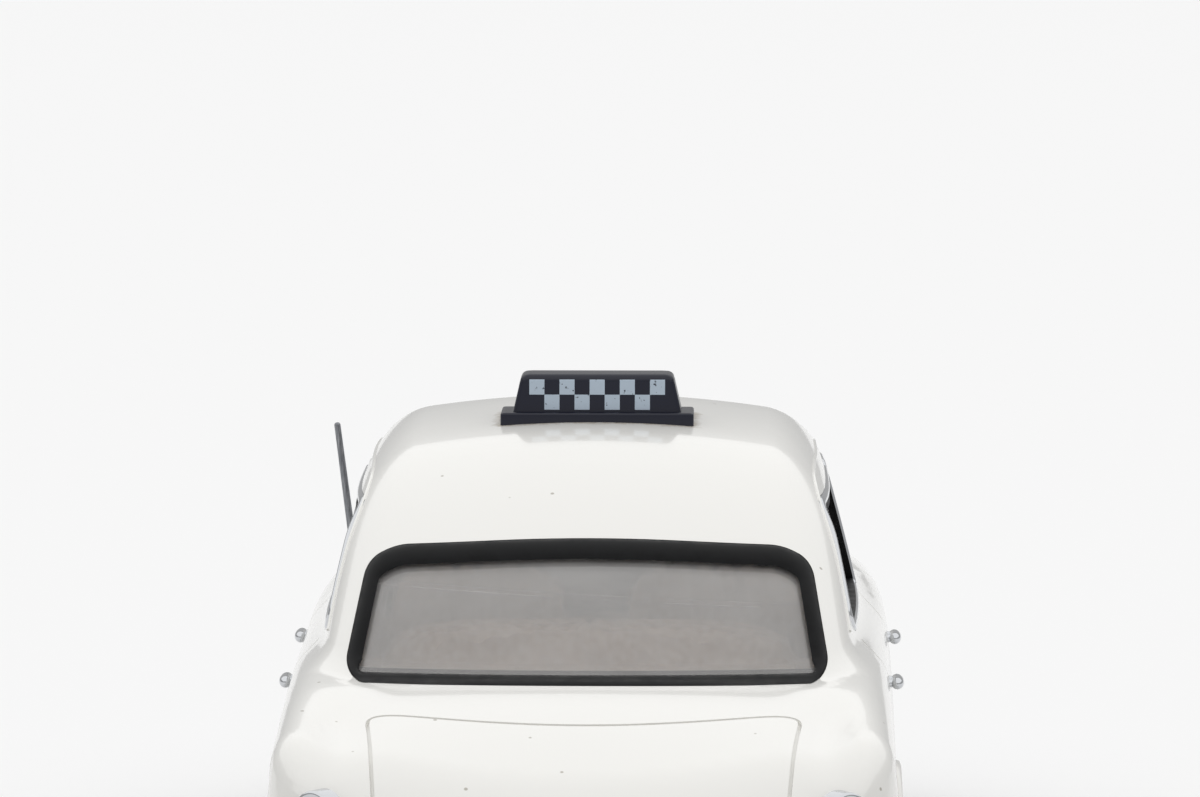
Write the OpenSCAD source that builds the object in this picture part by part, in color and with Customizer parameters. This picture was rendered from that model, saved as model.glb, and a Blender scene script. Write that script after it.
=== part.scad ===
// Toy police car: a die-cast four-door saloon with a roof sign, to about 1:43.
// Millimetres. +Y is the front of the car, +Z is up, and the tyres stand on z = 0.

/* [Body shell] */
// Length of the cast shell from nose to tail
body_length = 101.5; // [97:0.5:108]
// Width of the shell across the front doors
body_width = 41.8; // [39:0.2:45]
// Height of the roof's highest point above the ground
roof_height = 36.1; // [34:0.1:39]
// Height of the waistline along the doors
belt_height = 22.0; // [21:0.1:23]
// Height of the shell's bottom edge and of the base plate's underside
sill_height = 4.8; // [4:0.1:5.6]
// Wall thickness of the casting
shell_wall = 1.2; // [0.9:0.1:1.5]

/* [Cabin] */
// Width of the cabin at the waistline
cabin_width = 37.0; // [35:0.2:38.4]
// Distance from the middle of the car to the foot of the windscreen
windscreen_base = 25.6; // [24:0.2:27]
// Distance from the middle of the car to the foot of the rear window
rear_window_base = 34.8; // [33:0.2:36]
// Slope of the windscreen against the ground, in degrees
windscreen_rake = 42; // [38:1:46]
// Slope of the rear window against the ground, in degrees
rear_window_rake = 34.8; // [32:0.2:38]
// Place of the pillar between the doors, along the car
door_pillar_y = 2.8; // [1:0.2:5]
// Thickness of the clear window moulding
glazing_wall = 0.7; // [0.5:0.05:0.9]
// Width of the black rubber surround of the windscreen and rear window
seal_width = 1.0; // [0.6:0.05:1.3]
// Width of the plated trim round each side window
trim_width = 0.5; // [0.3:0.05:0.8]

/* [Wheels] */
// Distance between the two axles
wheelbase = 63.5; // [60:0.5:66]
// Distance of the front axle from the shell's nose
front_overhang = 18.7; // [17:0.1:20]
// Distance between the middles of the left and right tyres
track = 34.0; // [32:0.2:35]
// Outer diameter of a tyre
tyre_diameter = 14.4; // [13:0.1:15.4]
// Width of a tyre
tyre_width = 4.2; // [3:0.1:5]
// Diameter of the wheel inside the tyre
wheel_diameter = 9.6; // [8:0.1:10.4]
// Diameter of the steel axles
axle_diameter = 1.6; // [1.2:0.1:2]
// Room between a tyre and its wheel arch
arch_room = 1.1; // [0.8:0.1:1.6]

/* [Base plate] */
// Thickness of the base plate
plate_thickness = 1.2; // [0.9:0.1:1.6]
// Thickness of the interior tub's floor and walls
tub_wall = 0.9; // [0.7:0.1:1.2]
// Diameter of the two base screws' shanks
screw_diameter = 1.8; // [1.4:0.1:2.2]

/* [Roof sign] */
// Length of the sign's foot across the car
sign_foot_length = 13.2; // [11:0.1:16]
// Depth of the sign's foot along the car
sign_foot_depth = 4.4; // [3.6:0.1:6]
// Height of the sign's foot
sign_foot_height = 1.0; // [0.7:0.1:1.5]
// Height of the sign's box above its foot
sign_box_height = 2.4; // [1.8:0.1:4]
// How far the box steps in from the ends of the foot
sign_step = 0.95; // [0.5:0.05:1.5]
// How far each end of the box leans in from bottom to top
sign_taper = 0.75; // [0.3:0.05:1.2]
// Place of the sign's middle along the car
sign_y = -4.8; // [-8:0.2:4]

/* [Bumpers and trim] */
// Height of the middle of both bumpers
bumper_z = 8.6; // [8:0.1:9.2]
// Height of a bumper's face
bumper_height = 2.2; // [1.6:0.1:2.6]
// Thickness of a bumper's blade
bumper_thickness = 1.1; // [0.8:0.1:1.4]
// Gap between the shell's ends and the bumpers
bumper_gap = 0.9; // [0.6:0.1:1.4]
// Radius of a headlamp's bezel
headlamp_radius = 2.7; // [2.2:0.1:3.1]
// Distance of each headlamp from the car's middle line
headlamp_x = 13.4; // [12.6:0.2:14]
// Width of the grille
grille_width = 13.0; // [10:0.2:14]
// Width of a number plate
number_plate_width = 11.6; // [10:0.2:12.6]
// Length of a door handle
handle_length = 2.8; // [2:0.1:3.4]
// Height of the door handles
handle_z = 18.9; // [18:0.1:19.4]
// Length of the aerial above its foot
aerial_length = 10.5; // [8:0.5:13]

/* [Hidden] */

LEFT = -1;
RIGHT = 1;
FRONT = 1;
REAR = -1;

// Clearance of a piece in its seat, and of the axles in their bearings
fit = 0.03;
running_fit = 0.05;

half_length = body_length / 2;
half_width = body_width / 2;
front_axle_y = half_length - front_overhang;
rear_axle_y = front_axle_y - wheelbase;
axle_z = tyre_diameter / 2;
plate_top = sill_height + plate_thickness;
arch_radius = tyre_diameter / 2 + arch_room;
wheel_inner_x = track / 2 - tyre_width / 2;
wheel_room_x = wheel_inner_x - arch_room;

// How the shell is drawn: rounding radii, and how fast its faces curve per millimetre
shoulder_round = 2.2;
end_round = 3.4;
roof_round = 2.8;
windscreen_round = 3.0;
rear_window_round = 4.0;
waist_fillet = 1.2;
widest_z = sill_height + 7.2;
end_bow = 3.3;
end_power = 2.5;
end_lean = 0.020;
sill_tuck = 0.016;
shoulder_tuck = 0.009;
bonnet_curve = 0.0062;
boot_slope = 0.16;
boot_curve = 0.0125;
// step down from the waist to the boot, and the run that it takes
boot_step = 0.9;
boot_step_run = 8;
wing_front_curve = 0.0021;
wing_rear_curve = 0.0034;
wing_start_front = 16;
wing_start_rear = -22;
bonnet_valley = 1.1;
boot_valley = 0.8;
bonnet_valley_x = 0.59 * half_width;
boot_valley_x = 0.74 * half_width;
roof_peak_y = 4;
roof_crown = 0.0060;
roof_rear_curve = 0.0050;
roof_rear_drop = 3.9e-6;
roof_front_curve = 0.0060;
cabin_lean = 0.22;
cabin_curve = 0.003;

function smooth(lo, hi, v) =
    let (t = max(0, min(1, (v - lo) / (hi - lo)))) t * t * (3 - 2 * t);
function bell(v, width) = exp(-(v / width) * (v / width));

// Rounded meeting of two solids, and filleted joining of two solids
function rounded_cut(a, b, r) = min(max(a, b), -r) + norm([max(a + r, 0), max(b + r, 0)]);
function filleted_join(a, b, r) = max(min(a, b), r) - norm([max(r - a, 0), max(r - b, 0)]);

// Height of the bonnet, waist and boot with no cabin on them
function deck(x, y) =
    let (
        ahead = max(y - windscreen_base + 0.6, 0),
        behind = max(0.8 - rear_window_base - y, 0),
        middle = belt_height + 0.3 - 0.02 * ahead - bonnet_curve * ahead ^ 2
            - boot_slope * behind - boot_curve * behind ^ 2
            - boot_step * smooth(rear_window_base - boot_step_run, rear_window_base, -y),
        wing_ahead = max(y - wing_start_front, 0),
        wing_behind = max(wing_start_rear - y, 0),
        wing = belt_height - 0.008 * wing_ahead - wing_front_curve * wing_ahead ^ 2
            - 0.03 * wing_behind - wing_rear_curve * wing_behind ^ 2,
        across = min(abs(x) / (0.86 * half_width), 1.15),
        on_bonnet = smooth(windscreen_base - 1.6, windscreen_base + 10.4, y),
        on_boot = smooth(rear_window_base - 1.8, rear_window_base + 6.2, -y)
    )
    middle + (wing - middle) * across ^ 2
        - on_bonnet * bonnet_valley * bell(abs(x) - bonnet_valley_x, 2.3)
        - on_boot * boot_valley * bell(abs(x) - boot_valley_x, 1.5);

// Depth of a point outside the lower body: negative inside, zero on its skin
function lower_body(x, y, z) =
    let (
        wide = half_width - 0.016 * max(10 - y, 0) - 0.0009 * max(y - 10, 0) ^ 2,
        below = max(widest_z - z, 0),
        above = max(z - widest_z, 0),
        side = abs(x) - (wide - sill_tuck * below ^ 2 - shoulder_tuck * above ^ 2),
        top = (z - deck(x, y)) * 0.96,
        lean = end_bow * (abs(x) / half_width) ^ end_power + end_lean * max(z - widest_z + 2, 0) ^ 2,
        ends = abs(y) - (half_length - lean)
    )
    rounded_cut(rounded_cut(side, top, shoulder_round), ends, end_round);

// Depth of a point outside the cabin, which stands on the lower body
function cabin(x, y, z) =
    let (
        up = z - belt_height + 1,
        half = cabin_width / 2 - 0.0016 * (y + 3) ^ 2 - cabin_lean * up - cabin_curve * max(up, 0) ^ 2,
        behind = max(roof_peak_y - y, 0),
        ahead = max(y - roof_peak_y, 0),
        crown = roof_height - roof_rear_curve * behind ^ 2 - roof_rear_drop * behind ^ 4
            - roof_front_curve * ahead ^ 2 - roof_crown * x ^ 2,
        windscreen = (y - windscreen_base + 0.010 * x ^ 2) * sin(windscreen_rake)
            + (z - belt_height + 0.2) * cos(windscreen_rake),
        rear_window = (-rear_window_base - y + 0.007 * x ^ 2) * sin(rear_window_rake)
            + (z - belt_height - 0.2) * cos(rear_window_rake),
        sides = rounded_cut((abs(x) - half) * 0.96, (z - crown) * 0.96, roof_round),
        front = rounded_cut(sides, windscreen, windscreen_round)
    )
    max(rounded_cut(front, rear_window, rear_window_round), belt_height - 5 - z);

function whole_body(x, y, z) = filleted_join(lower_body(x, y, z), cabin(x, y, z), waist_fillet);

// Distance from an inside point to the skin that lies at a given depth, by halving
function reach(form, from, along, depth, near = 0, far = 70, left = 15) =
    let (mid = (near + far) / 2, p = from + along * mid)
    left == 0 ? mid
        : form(p.x, p.y, p.z) < depth ? reach(form, from, along, depth, mid, far, left - 1)
        : reach(form, from, along, depth, near, mid, left - 1);
body_form = function(x, y, z) whole_body(x, y, z);
cabin_form = function(x, y, z) cabin(x, y, z);
function on_body(from, along, depth = 0) = from + along * reach(body_form, from, along, depth);

// Skin points: rays fan out from a level line along the car, and round its two ends
function skin_rays(rear_y, front_y, z, along, round_end, around) =
    let (
        stations = concat(
            [for (i = [round_end - 1:-1:1]) [rear_y, -90 * i / round_end]],
            [for (i = [0:along]) [rear_y + (front_y - rear_y) * i / along, 0]],
            [for (i = [1:round_end - 1]) [front_y, 90 * i / round_end]])
    )
    [for (s = stations) [for (j = [0:around])
        let (a = 180 * j / around)
        [[0, s[0], z], [cos(a) * cos(s[1]), sin(s[1]), sin(a) * cos(s[1])]]]];

// Points of one skin, row by row, with the two end points last
function skin_points(form, depth, rear_y, front_y, z, along, round_end, around) =
    concat(
        [for (row = skin_rays(rear_y, front_y, z, along, round_end, around)) for (ray = row)
            ray[0] + ray[1] * reach(form, ray[0], ray[1], depth)],
        [[0, rear_y - reach(form, [0, rear_y, z], [0, -1, 0], depth), z],
            [0, front_y + reach(form, [0, front_y, z], [0, 1, 0], depth), z]]);
// Faces of that skin, without its level foot
function skin_faces(rows, around) =
    let (
        at = function(i, j) i * (around + 1) + j,
        tail = rows * (around + 1),
        nose = tail + 1
    )
    concat(
        [for (i = [0:rows - 2], j = [0:around - 1]) each [
            [at(i, j), at(i, j + 1), at(i + 1, j + 1)], [at(i, j), at(i + 1, j + 1), at(i + 1, j)]]],
        [for (j = [0:around - 1]) [tail, at(0, j + 1), at(0, j)]],
        [for (j = [0:around - 1]) [nose, at(rows - 1, j), at(rows - 1, j + 1)]]);
// Point numbers along the edge of the foot: up the right side to the nose, and back down the left
function skin_foot(rows, around) =
    let (columns = around + 1)
    concat([rows * columns], [for (i = [0:rows - 1]) i * columns], [rows * columns + 1],
        [for (i = [rows - 1:-1:0]) i * columns + around]);
function skin_rows(along, round_end) = along + 1 + 2 * (round_end - 1);

// Solid inside the skin at a given depth, cut off level at its foot
module skin_solid(form, depth, rear_y, front_y, z, along, round_end, around) {
    rows = skin_rows(along, round_end);
    polyhedron(skin_points(form, depth, rear_y, front_y, z, along, round_end, around),
        concat(skin_faces(rows, around), [skin_foot(rows, around)]));
}

// Hollow dome between two skins, open at its foot
module skin_dome(form, depth, wall, rear_y, front_y, z, along, round_end, around) {
    rows = skin_rows(along, round_end);
    outer = skin_points(form, depth, rear_y, front_y, z, along, round_end, around);
    inner = skin_points(form, depth - wall, rear_y, front_y, z, along, round_end, around);
    n = len(outer);
    foot = skin_foot(rows, around);
    m = len(foot);
    polyhedron(concat(outer, inner), concat(
        skin_faces(rows, around),
        [for (f = skin_faces(rows, around)) [f[2] + n, f[1] + n, f[0] + n]],
        [for (k = [0:m - 1]) each
            let (p = foot[k], q = foot[(k + 1) % m]) [[p, q, q + n], [p, q + n, p + n]]]));
}

// Flat outlines with rounded corners
function unit(v) = v / norm(v);
function corner(a, b, c, r, steps = 4) =
    let (
        u = unit(a - b),
        v = unit(c - b),
        half = acos(u * v) / 2,
        centre = b + unit(u + v) * r / sin(half),
        start = b + u * r / tan(half) - centre,
        first = atan2(start.y, start.x),
        turn = (180 - 2 * half) * sign(cross(b - a, c - b))
    )
    [for (i = [0:steps]) centre + r * [cos(first + turn * i / steps), sin(first + turn * i / steps)]];
function rounded(points, radii) =
    let (n = len(points))
    [for (i = [0:n - 1]) each corner(points[(i + n - 1) % n], points[i], points[(i + 1) % n], radii[i])];
function divided(points, step) =
    let (n = len(points))
    [for (i = [0:n - 1])
        let (a = points[i], b = points[(i + 1) % n], parts = max(1, round(norm(b - a) / step)))
        for (k = [0:parts - 1]) a + (b - a) * k / parts];
function inward(points, i) =
    let (n = len(points), d = unit(points[(i + 1) % n] - points[(i + n - 1) % n])) [-d.y, d.x];

// Outlines of the window openings, anticlockwise: across and up, or along and up
window_foot = belt_height + 0.9;
window_head = roof_height - 4.4;
screen_foot = belt_height + 0.35;
rear_foot = belt_height - 0.7;
rear_head = belt_height + 7.4;
rear_window_outline = rounded([
    [-0.43 * cabin_width, rear_foot], [0.43 * cabin_width, rear_foot],
    [0.396 * cabin_width, rear_head - 1.05], [0.349 * cabin_width, rear_head - 0.28], [0, rear_head + 0.28],
    [-0.349 * cabin_width, rear_head - 0.28], [-0.396 * cabin_width, rear_head - 1.05]],
    [1.3, 1.3, 1.8, 4.6, 120, 4.6, 1.8]);
windscreen_outline = rounded([
    [-0.43 * cabin_width, screen_foot + 0.25], [0.43 * cabin_width, screen_foot + 0.25],
    [0.355 * cabin_width, window_head + 0.1], [0, window_head + 0.9], [-0.355 * cabin_width, window_head + 0.1]],
    [1.6, 1.6, 2.4, 100, 2.4]);
pillar_half = 1.1;
front_pillar_y = windscreen_base - 5.4;
rear_pillar_y = -rear_window_base + 12.2;
front_lean = (window_head - window_foot) / tan(windscreen_rake);
rear_lean = 0.85 * (window_head - window_foot);
front_window_outline = rounded([
    [door_pillar_y + pillar_half, window_foot], [front_pillar_y, window_foot],
    [front_pillar_y - front_lean, window_head], [door_pillar_y + pillar_half, window_head]],
    [0.7, 0.8, 1.4, 0.9]);
rear_door_window_outline = rounded([
    [rear_pillar_y, window_foot], [door_pillar_y - pillar_half, window_foot],
    [door_pillar_y - pillar_half, window_head], [rear_pillar_y + rear_lean, window_head - 0.5]],
    [1.2, 0.7, 0.9, 3.0]);

// Solid through an opening: an outline that faces along the car, or across it
module end_window(outline, end) {
    rotate([90, 0, 0])
        translate([0, 0, end == FRONT ? -half_length : 8])
            linear_extrude(half_length - 8)
                polygon(outline);
}
module side_window(outline) {
    rotate([90, 0, 90])
        linear_extrude(2 * body_width, center = true)
            polygon(outline);
}

// Band that lines an opening: its face follows the skin, and it stands back into the car
function band_width(width, narrow, in) = width * (1 - narrow * smooth(0.5, 0.95, in.y));
module window_band(outline, place, along, width, narrow, depth, proud) {
    path = divided(outline, 2);
    n = len(path);
    rings = [for (i = [0:n - 1])
        let (
            in = inward(path, i),
            edge = on_body(place(path[i] + in * fit), along, proud),
            lip = on_body(place(path[i] + in * (fit + band_width(width, narrow, in))), along, proud)
        )
        [edge, lip, lip - along * depth, edge - along * depth]];
    swap = along * cross(place([1, 0]), place([0, 1])) < 0;
    at = function(i, k) (i % n) * 4 + k % 4;
    polyhedron([for (ring = rings) each ring], [for (i = [0:n - 1], k = [0:3]) each
        swap ? [[at(i, k), at(i + 1, k + 1), at(i, k + 1)], [at(i, k), at(i + 1, k), at(i + 1, k + 1)]]
             : [[at(i, k), at(i, k + 1), at(i + 1, k + 1)], [at(i, k), at(i + 1, k + 1), at(i + 1, k)]]]);
}
across_place = function(p) [p.x, 0, p.y];
along_place = function(p) [0, p.x, p.y];

// Seats of the pieces that are set into the shell
module lamp_seat(x, z, radius, end, depth) {
    face = on_body([x, 0, z], [0, end, 0]);
    translate(face - [0, end * depth, 0])
        rotate([-90 * end, 0, 0])
            cylinder(r = radius, h = depth + 6, $fn = 32);
}
tail_lamp_x = half_width - 4.4;
tail_lamp_low = sill_height + 7.1;
tail_lamp_high = sill_height + 10.5;
tail_lamp_radius = 1.5;
tail_lamp_depth = 0.9;
tail_lamp_stand = 0.5;
tail_lamp_turn = 34;
tail_lamp_place = on_body([tail_lamp_x, 0, (tail_lamp_low + tail_lamp_high) / 2], [0, REAR, 0]);
module tail_lamp_block(side, radius, from_depth, to_stand) {
    translate([side * tail_lamp_x, tail_lamp_place.y, 0])
        rotate([0, 0, side * tail_lamp_turn])
            translate([0, from_depth, 0])
                rotate([90, 0, 0])
                    linear_extrude(from_depth + to_stand)
                        hull() {
                            for (z = [tail_lamp_low, tail_lamp_high])
                                translate([0, z])
                                    circle(r = radius, $fn = 32);
                        }
}
number_plate_height = 2.7;
number_plate_thickness = 0.6;
number_plate_z = bumper_z + bumper_height / 2 + number_plate_height / 2 + 0.5;
function number_plate_y(end) = on_body([number_plate_width / 2, 0, number_plate_z], [0, end, 0]).y;
module number_plate_block(end, grow) {
    translate([0, number_plate_y(end), number_plate_z])
        cube([number_plate_width + 2 * grow, number_plate_thickness + 2 * grow,
            number_plate_height + 2 * grow], center = true);
}
grille_height = 4.6;
grille_depth = 1.6;
grille_z = number_plate_z + number_plate_height / 2 + 0.5 + grille_height / 2;
grille_face = on_body([0, 0, grille_z + grille_height / 2], [0, FRONT, 0]).y + 0.2;
grille_corner = 1.4;
module grille_outline(inset) {
    offset(r = grille_corner - inset, $fn = 24)
        square([grille_width - 2 * grille_corner, grille_height - 2 * grille_corner], center = true);
}
module grille_block(inset, from_y, to_y) {
    translate([0, to_y, grille_z])
        rotate([90, 0, 0])
            linear_extrude(to_y - from_y)
                grille_outline(inset);
}
tab_depth = 0.8;
handle_tab_half = 0.28;
handle_stand = 0.55;
handle_rod = 0.42;
boot_handle_z = number_plate_z + number_plate_height / 2 + 1.3;
boot_handle_width = 4.6;
boot_handle_y = on_body([0, 0, boot_handle_z], [0, REAR, 0]).y;
boot_handle_out = on_body([0, 0, boot_handle_z], [0, REAR, 0], handle_stand).y;
module boot_handle_tab(grow) {
    hull() {
        for (x = [-1, 1] * boot_handle_width * 0.3)
            translate([x, boot_handle_y + tab_depth, boot_handle_z])
                rotate([90, 0, 0])
                    cylinder(r = handle_tab_half + grow, $fn = 12,
                        h = boot_handle_y + tab_depth - boot_handle_out);
    }
}
handle_front_y = door_pillar_y + 3.0;
handle_rear_y = door_pillar_y - 18.6;
function handle_place(side, y) = on_body([0, y, handle_z], [side, 0, 0]);
module handle_tab(side, y, grow) {
    hull() {
        for (dy = [-1, 1] * handle_length * 0.25)
            translate(handle_place(side, y) + [-side * tab_depth, dy, 0])
                rotate([0, 90 * side, 0])
                    cylinder(r = handle_tab_half + grow, h = tab_depth + handle_stand, $fn = 12);
    }
}
bracket_width = 2.4;
bracket_height = 1.0;
bracket_x = 9.0;
module bumper_brackets(end, grow) {
    for (x = [-1, 1] * bracket_x) {
        skin = on_body([x, 0, bumper_z], [0, end, 0]).y - end * shell_wall * 0.75;
        outer = end * (half_length + bumper_gap + bumper_thickness * 0.6);
        translate([x, (skin + outer) / 2, bumper_z])
            cube([bracket_width + 2 * grow, abs(outer - skin) + 2 * grow, bracket_height + 2 * grow],
                center = true);
    }
}
sign_x = 0.2;
sign_peg_radius = 0.7;
sign_peg_x = 0.3 * sign_foot_length;
sign_peg_length = 0.4 * shell_wall;
sign_foot_z = on_body([abs(sign_x) + sign_foot_length / 2, sign_y - sign_foot_depth / 2, belt_height],
    [0, 0, 1]).z - 0.1;
module sign_foot(grow) {
    translate([sign_x, sign_y, sign_foot_z - grow])
        linear_extrude(sign_foot_height + grow)
            square([sign_foot_length + 2 * grow, sign_foot_depth + 2 * grow], center = true);
}
module sign_pegs(radius, length) {
    for (x = [-1, 1] * sign_peg_x)
        translate([sign_x + x, sign_y, sign_foot_z - length])
            cylinder(r = radius, h = length + 0.2, $fn = 24);
}
aerial_x = -(half_width - 2.6);
aerial_y = windscreen_base + 1.6;
aerial_foot_z = on_body([aerial_x, aerial_y, sill_height + 8], [0, 0, 1]).z;
aerial_foot_radius = 0.8;
aerial_stem_radius = 0.5;
aerial_lean = 7;
aerial_radius = 0.24;
post_radius = screw_diameter / 2 + 1.4;
post_front_y = (front_axle_y + arch_radius + half_length - 2) / 2;
post_rear_y = (rear_axle_y - arch_radius - half_length + 2) / 2;
screw_length = 7;
screw_head_radius = screw_diameter / 2 + 0.8;
screw_head_height = 0.7;

// Cast shell: outer skin less the hollow, windows, wheel arches and the seats of the trim
end_fan = 19;
module body_shell() {
    color("white")
        difference() {
            union() {
                difference() {
                    skin_solid(body_form, 0, end_fan - half_length, half_length - end_fan,
                        sill_height, 28, 9, 29);
                    skin_solid(body_form, -shell_wall, end_fan + 1 - half_length, half_length - end_fan - 1,
                        sill_height - 0.6, 22, 6, 35);
                }
                for (y = [post_front_y, post_rear_y])
                    translate([0, y, plate_top + fit])
                        cylinder(r = post_radius, $fn = 16,
                            h = on_body([0, y + sign(y) * post_radius, plate_top], [0, 0, 1],
                                -shell_wall / 2).z - plate_top);
            }
            end_window(windscreen_outline, FRONT);
            end_window(rear_window_outline, REAR);
            side_window(front_window_outline);
            side_window(rear_door_window_outline);
            for (side = [LEFT, RIGHT], y = [front_axle_y, rear_axle_y])
                hull() {
                    for (z = [axle_z, axle_z - 3])
                        translate([side * wheel_room_x, y, z])
                            rotate([0, 90 * side, 0])
                                cylinder(r = arch_radius, h = half_width, $fn = 32);
                }
            for (side = [LEFT, RIGHT]) {
                lamp_seat(side * headlamp_x, headlamp_z, headlamp_radius + fit, FRONT, headlamp_depth);
                lamp_seat(side * indicator_x, indicator_z, indicator_radius + fit, FRONT, indicator_depth);
                tail_lamp_block(side, tail_lamp_radius + fit, tail_lamp_depth + fit, 6);
                for (y = [handle_front_y, handle_rear_y])
                    handle_tab(side, y, fit);
            }
            for (end = [FRONT, REAR]) {
                number_plate_block(end, fit);
                bumper_brackets(end, fit);
            }
            grille_block(-fit, grille_face - grille_depth, grille_face + 4);
            boot_handle_tab(fit);
            sign_foot(fit);
            sign_pegs(sign_peg_radius + fit, sign_peg_length + fit);
            translate([aerial_x, aerial_y, aerial_foot_z - 3])
                cylinder(r = aerial_stem_radius + fit, h = 6, $fn = 24);
            for (y = [post_front_y, post_rear_y])
                hull() {
                    for (z = [plate_top - 1, sill_height + screw_length])
                        translate([0, y, z])
                            cylinder(r = screw_diameter / 2 + fit, h = 0.5, $fn = 16);
                }
        }
}

// Base plate: closes the shell from below, and its lugs carry the two axles
plate_gap = 0.70;
lug_width = 2.2;
lug_x = wheel_room_x - lug_width / 2 - 0.9;
lug_half = axle_diameter / 2 + 1.5;
plate_steps = 72;
function plate_edge() =
    [for (i = [0:plate_steps - 1])
        let (
            a = 360 * i / plate_steps,
            from_y = (half_length - half_width) * (abs(sin(a)) > 0.6 ? sign(sin(a)) * 1 : sin(a) / 0.6),
            p = on_body([0, from_y, sill_height], [cos(a), sin(a), 0], -shell_wall - plate_gap)
        )
        [p.x, p.y]];
module base_plate() {
    color("dimgray")
        difference() {
            union() {
                translate([0, 0, sill_height])
                    linear_extrude(plate_thickness)
                        difference() {
                            polygon(plate_edge());
                            for (side = [LEFT, RIGHT], y = [front_axle_y, rear_axle_y])
                                translate([side * (wheel_room_x + half_width / 2), y])
                                    square([half_width, 2 * arch_radius], center = true);
                        }
                for (side = [LEFT, RIGHT], y = [front_axle_y, rear_axle_y])
                    translate([side * lug_x, y, (plate_top + axle_z + lug_half) / 2 - 0.1])
                        cube([lug_width, 2 * lug_half, axle_z + lug_half - plate_top + 0.2], center = true);
            }
            for (y = [front_axle_y, rear_axle_y])
                translate([-half_width, y, axle_z])
                    rotate([0, 90, 0])
                        cylinder(r = axle_diameter / 2 + running_fit, h = body_width, $fn = 32);
            for (y = [post_front_y, post_rear_y])
                translate([0, y, sill_height - 1]) {
                    cylinder(r = screw_diameter / 2 + fit, h = plate_thickness + 2, $fn = 32);
                    cylinder(r = screw_head_radius + fit, h = screw_head_height + 1, $fn = 32);
                }
        }
}

// Two screws hold the base plate to the posts under the bonnet and the boot
module base_screws() {
    color("silver")
        for (y = [post_front_y, post_rear_y])
            translate([0, y, sill_height])
                difference() {
                    union() {
                        cylinder(r = screw_head_radius, h = screw_head_height, $fn = 32);
                        cylinder(r = screw_diameter / 2, h = screw_length, $fn = 32);
                    }
                    translate([0, 0, screw_head_height * 0.2])
                        cube([2 * screw_head_radius - 0.4, 0.4, screw_head_height * 0.6], center = true);
                }
}

// Interior moulding: floor, walls, two front seats, rear bench and parcel shelf
glazing_foot = belt_height - 0.6;
tub_top = glazing_foot - 0.1;
dash_foot = tub_top - 3.6;
tub_gap = 0.3;
tub_front = front_axle_y - arch_radius - 2 * tub_gap;
tub_rear = rear_axle_y + arch_radius + 2 * tub_gap;
// Half width of the tub: the least room that the cabin and the corners of the lower body leave it
tub_corners = [[tub_rear, plate_top], [tub_rear, tub_top], [tub_front, plate_top], [tub_front, dash_foot]];
tub_half = min([cabin_width / 2 - shell_wall,
    for (c = tub_corners) on_body([0, c.x, c.y], [1, 0, 0], -shell_wall).x]) - tub_gap;
seat_x = tub_half / 2 - tub_gap;
tunnel_half = 2.2;
bench_inset = 2.8;
seat_width = 2 * (seat_x - tunnel_half);
module pad(centre, size, lean = 0) {
    translate(centre)
        rotate([lean, 0, 0])
            hull() {
                for (x = [-1, 1], y = [-1, 1], z = [-1, 1])
                    translate([x * (size.x / 2 - 0.7), y * (size.y / 2 - 0.7), z * (size.z / 2 - 0.7)])
                        sphere(r = 0.7, $fn = 12);
            }
}
module interior_tub() {
    length = tub_front - tub_rear;
    middle = (tub_front + tub_rear) / 2;
    color("indianred") {
        difference() {
            translate([0, middle, (plate_top + tub_top) / 2])
                cube([2 * tub_half, length, tub_top - plate_top], center = true);
            translate([0, middle, plate_top + tub_wall + tub_top / 2])
                cube([2 * (tub_half - tub_wall), length - 2 * tub_wall, tub_top], center = true);
            translate([0, tub_front, dash_foot + tub_top / 2])
                cube([2 * tub_half + 2, 7 * tub_wall, tub_top], center = true);
        }
        for (side = [LEFT, RIGHT]) {
            pad([side * seat_x, door_pillar_y + 3.2, plate_top + 5.2], [seat_width, 9.6, 9.4]);
            pad([side * seat_x, door_pillar_y - 1.6, plate_top + 11.5], [seat_width, 3.0, 13.5], 12);
        }
        pad([0, tub_rear + 6.6, plate_top + 5.0], [2 * tub_half - 2.4, 9.0, 9.0]);
        pad([0, tub_rear + 1.9, plate_top + 10.8], [2 * (tub_half - bench_inset), 3.0, 14.0], 14);
        pad([0, middle, plate_top + 1.4], [4.0, length - 4, 2.6]);
        hull() {
            for (y = [tub_rear + 1, -rear_window_base + 5], x = [-1, 1])
                translate([x * 0.36 * cabin_width, y, tub_top - 1.1])
                    cylinder(r = 0.8, h = 0.9, $fn = 16);
        }
    }
}

// Facia moulding, which stands on the front wall of the tub
dash_rear = tub_front - 4.6;
module dashboard() {
    half = tub_half - 1.4;
    color("dimgray")
        hull() {
            translate([-half, tub_front - 1.6, dash_foot + fit])
                cube([2 * half, 1.6, 3.4]);
            translate([-half, dash_rear, dash_foot + 1.2])
                cube([2 * half, 2, 1.6]);
        }
}

// Steering wheel on the right-hand side, with its column run up to the facia
steering_radius = 3.6;
module steering_wheel() {
    hub = [seat_x, dash_rear - 2.6, dash_foot + 3.4];
    color("black")
        difference() {
            translate(hub)
                rotate([62, 0, 0]) {
                    rotate_extrude($fn = 48)
                        translate([steering_radius, 0])
                            circle(r = 0.42, $fn = 24);
                    cylinder(r = 0.9, h = 0.8, center = true, $fn = 32);
                    for (a = [0, 180])
                        rotate([0, 90, a])
                            cylinder(r = 0.3, h = steering_radius, $fn = 24);
                    translate([0, 0, -5])
                        cylinder(r = 0.55, h = 5, $fn = 24);
                }
            translate([seat_x, dash_rear + 5 - fit, hub.z - 5])
                cube([6, 10, 20], center = true);
        }
}

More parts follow.
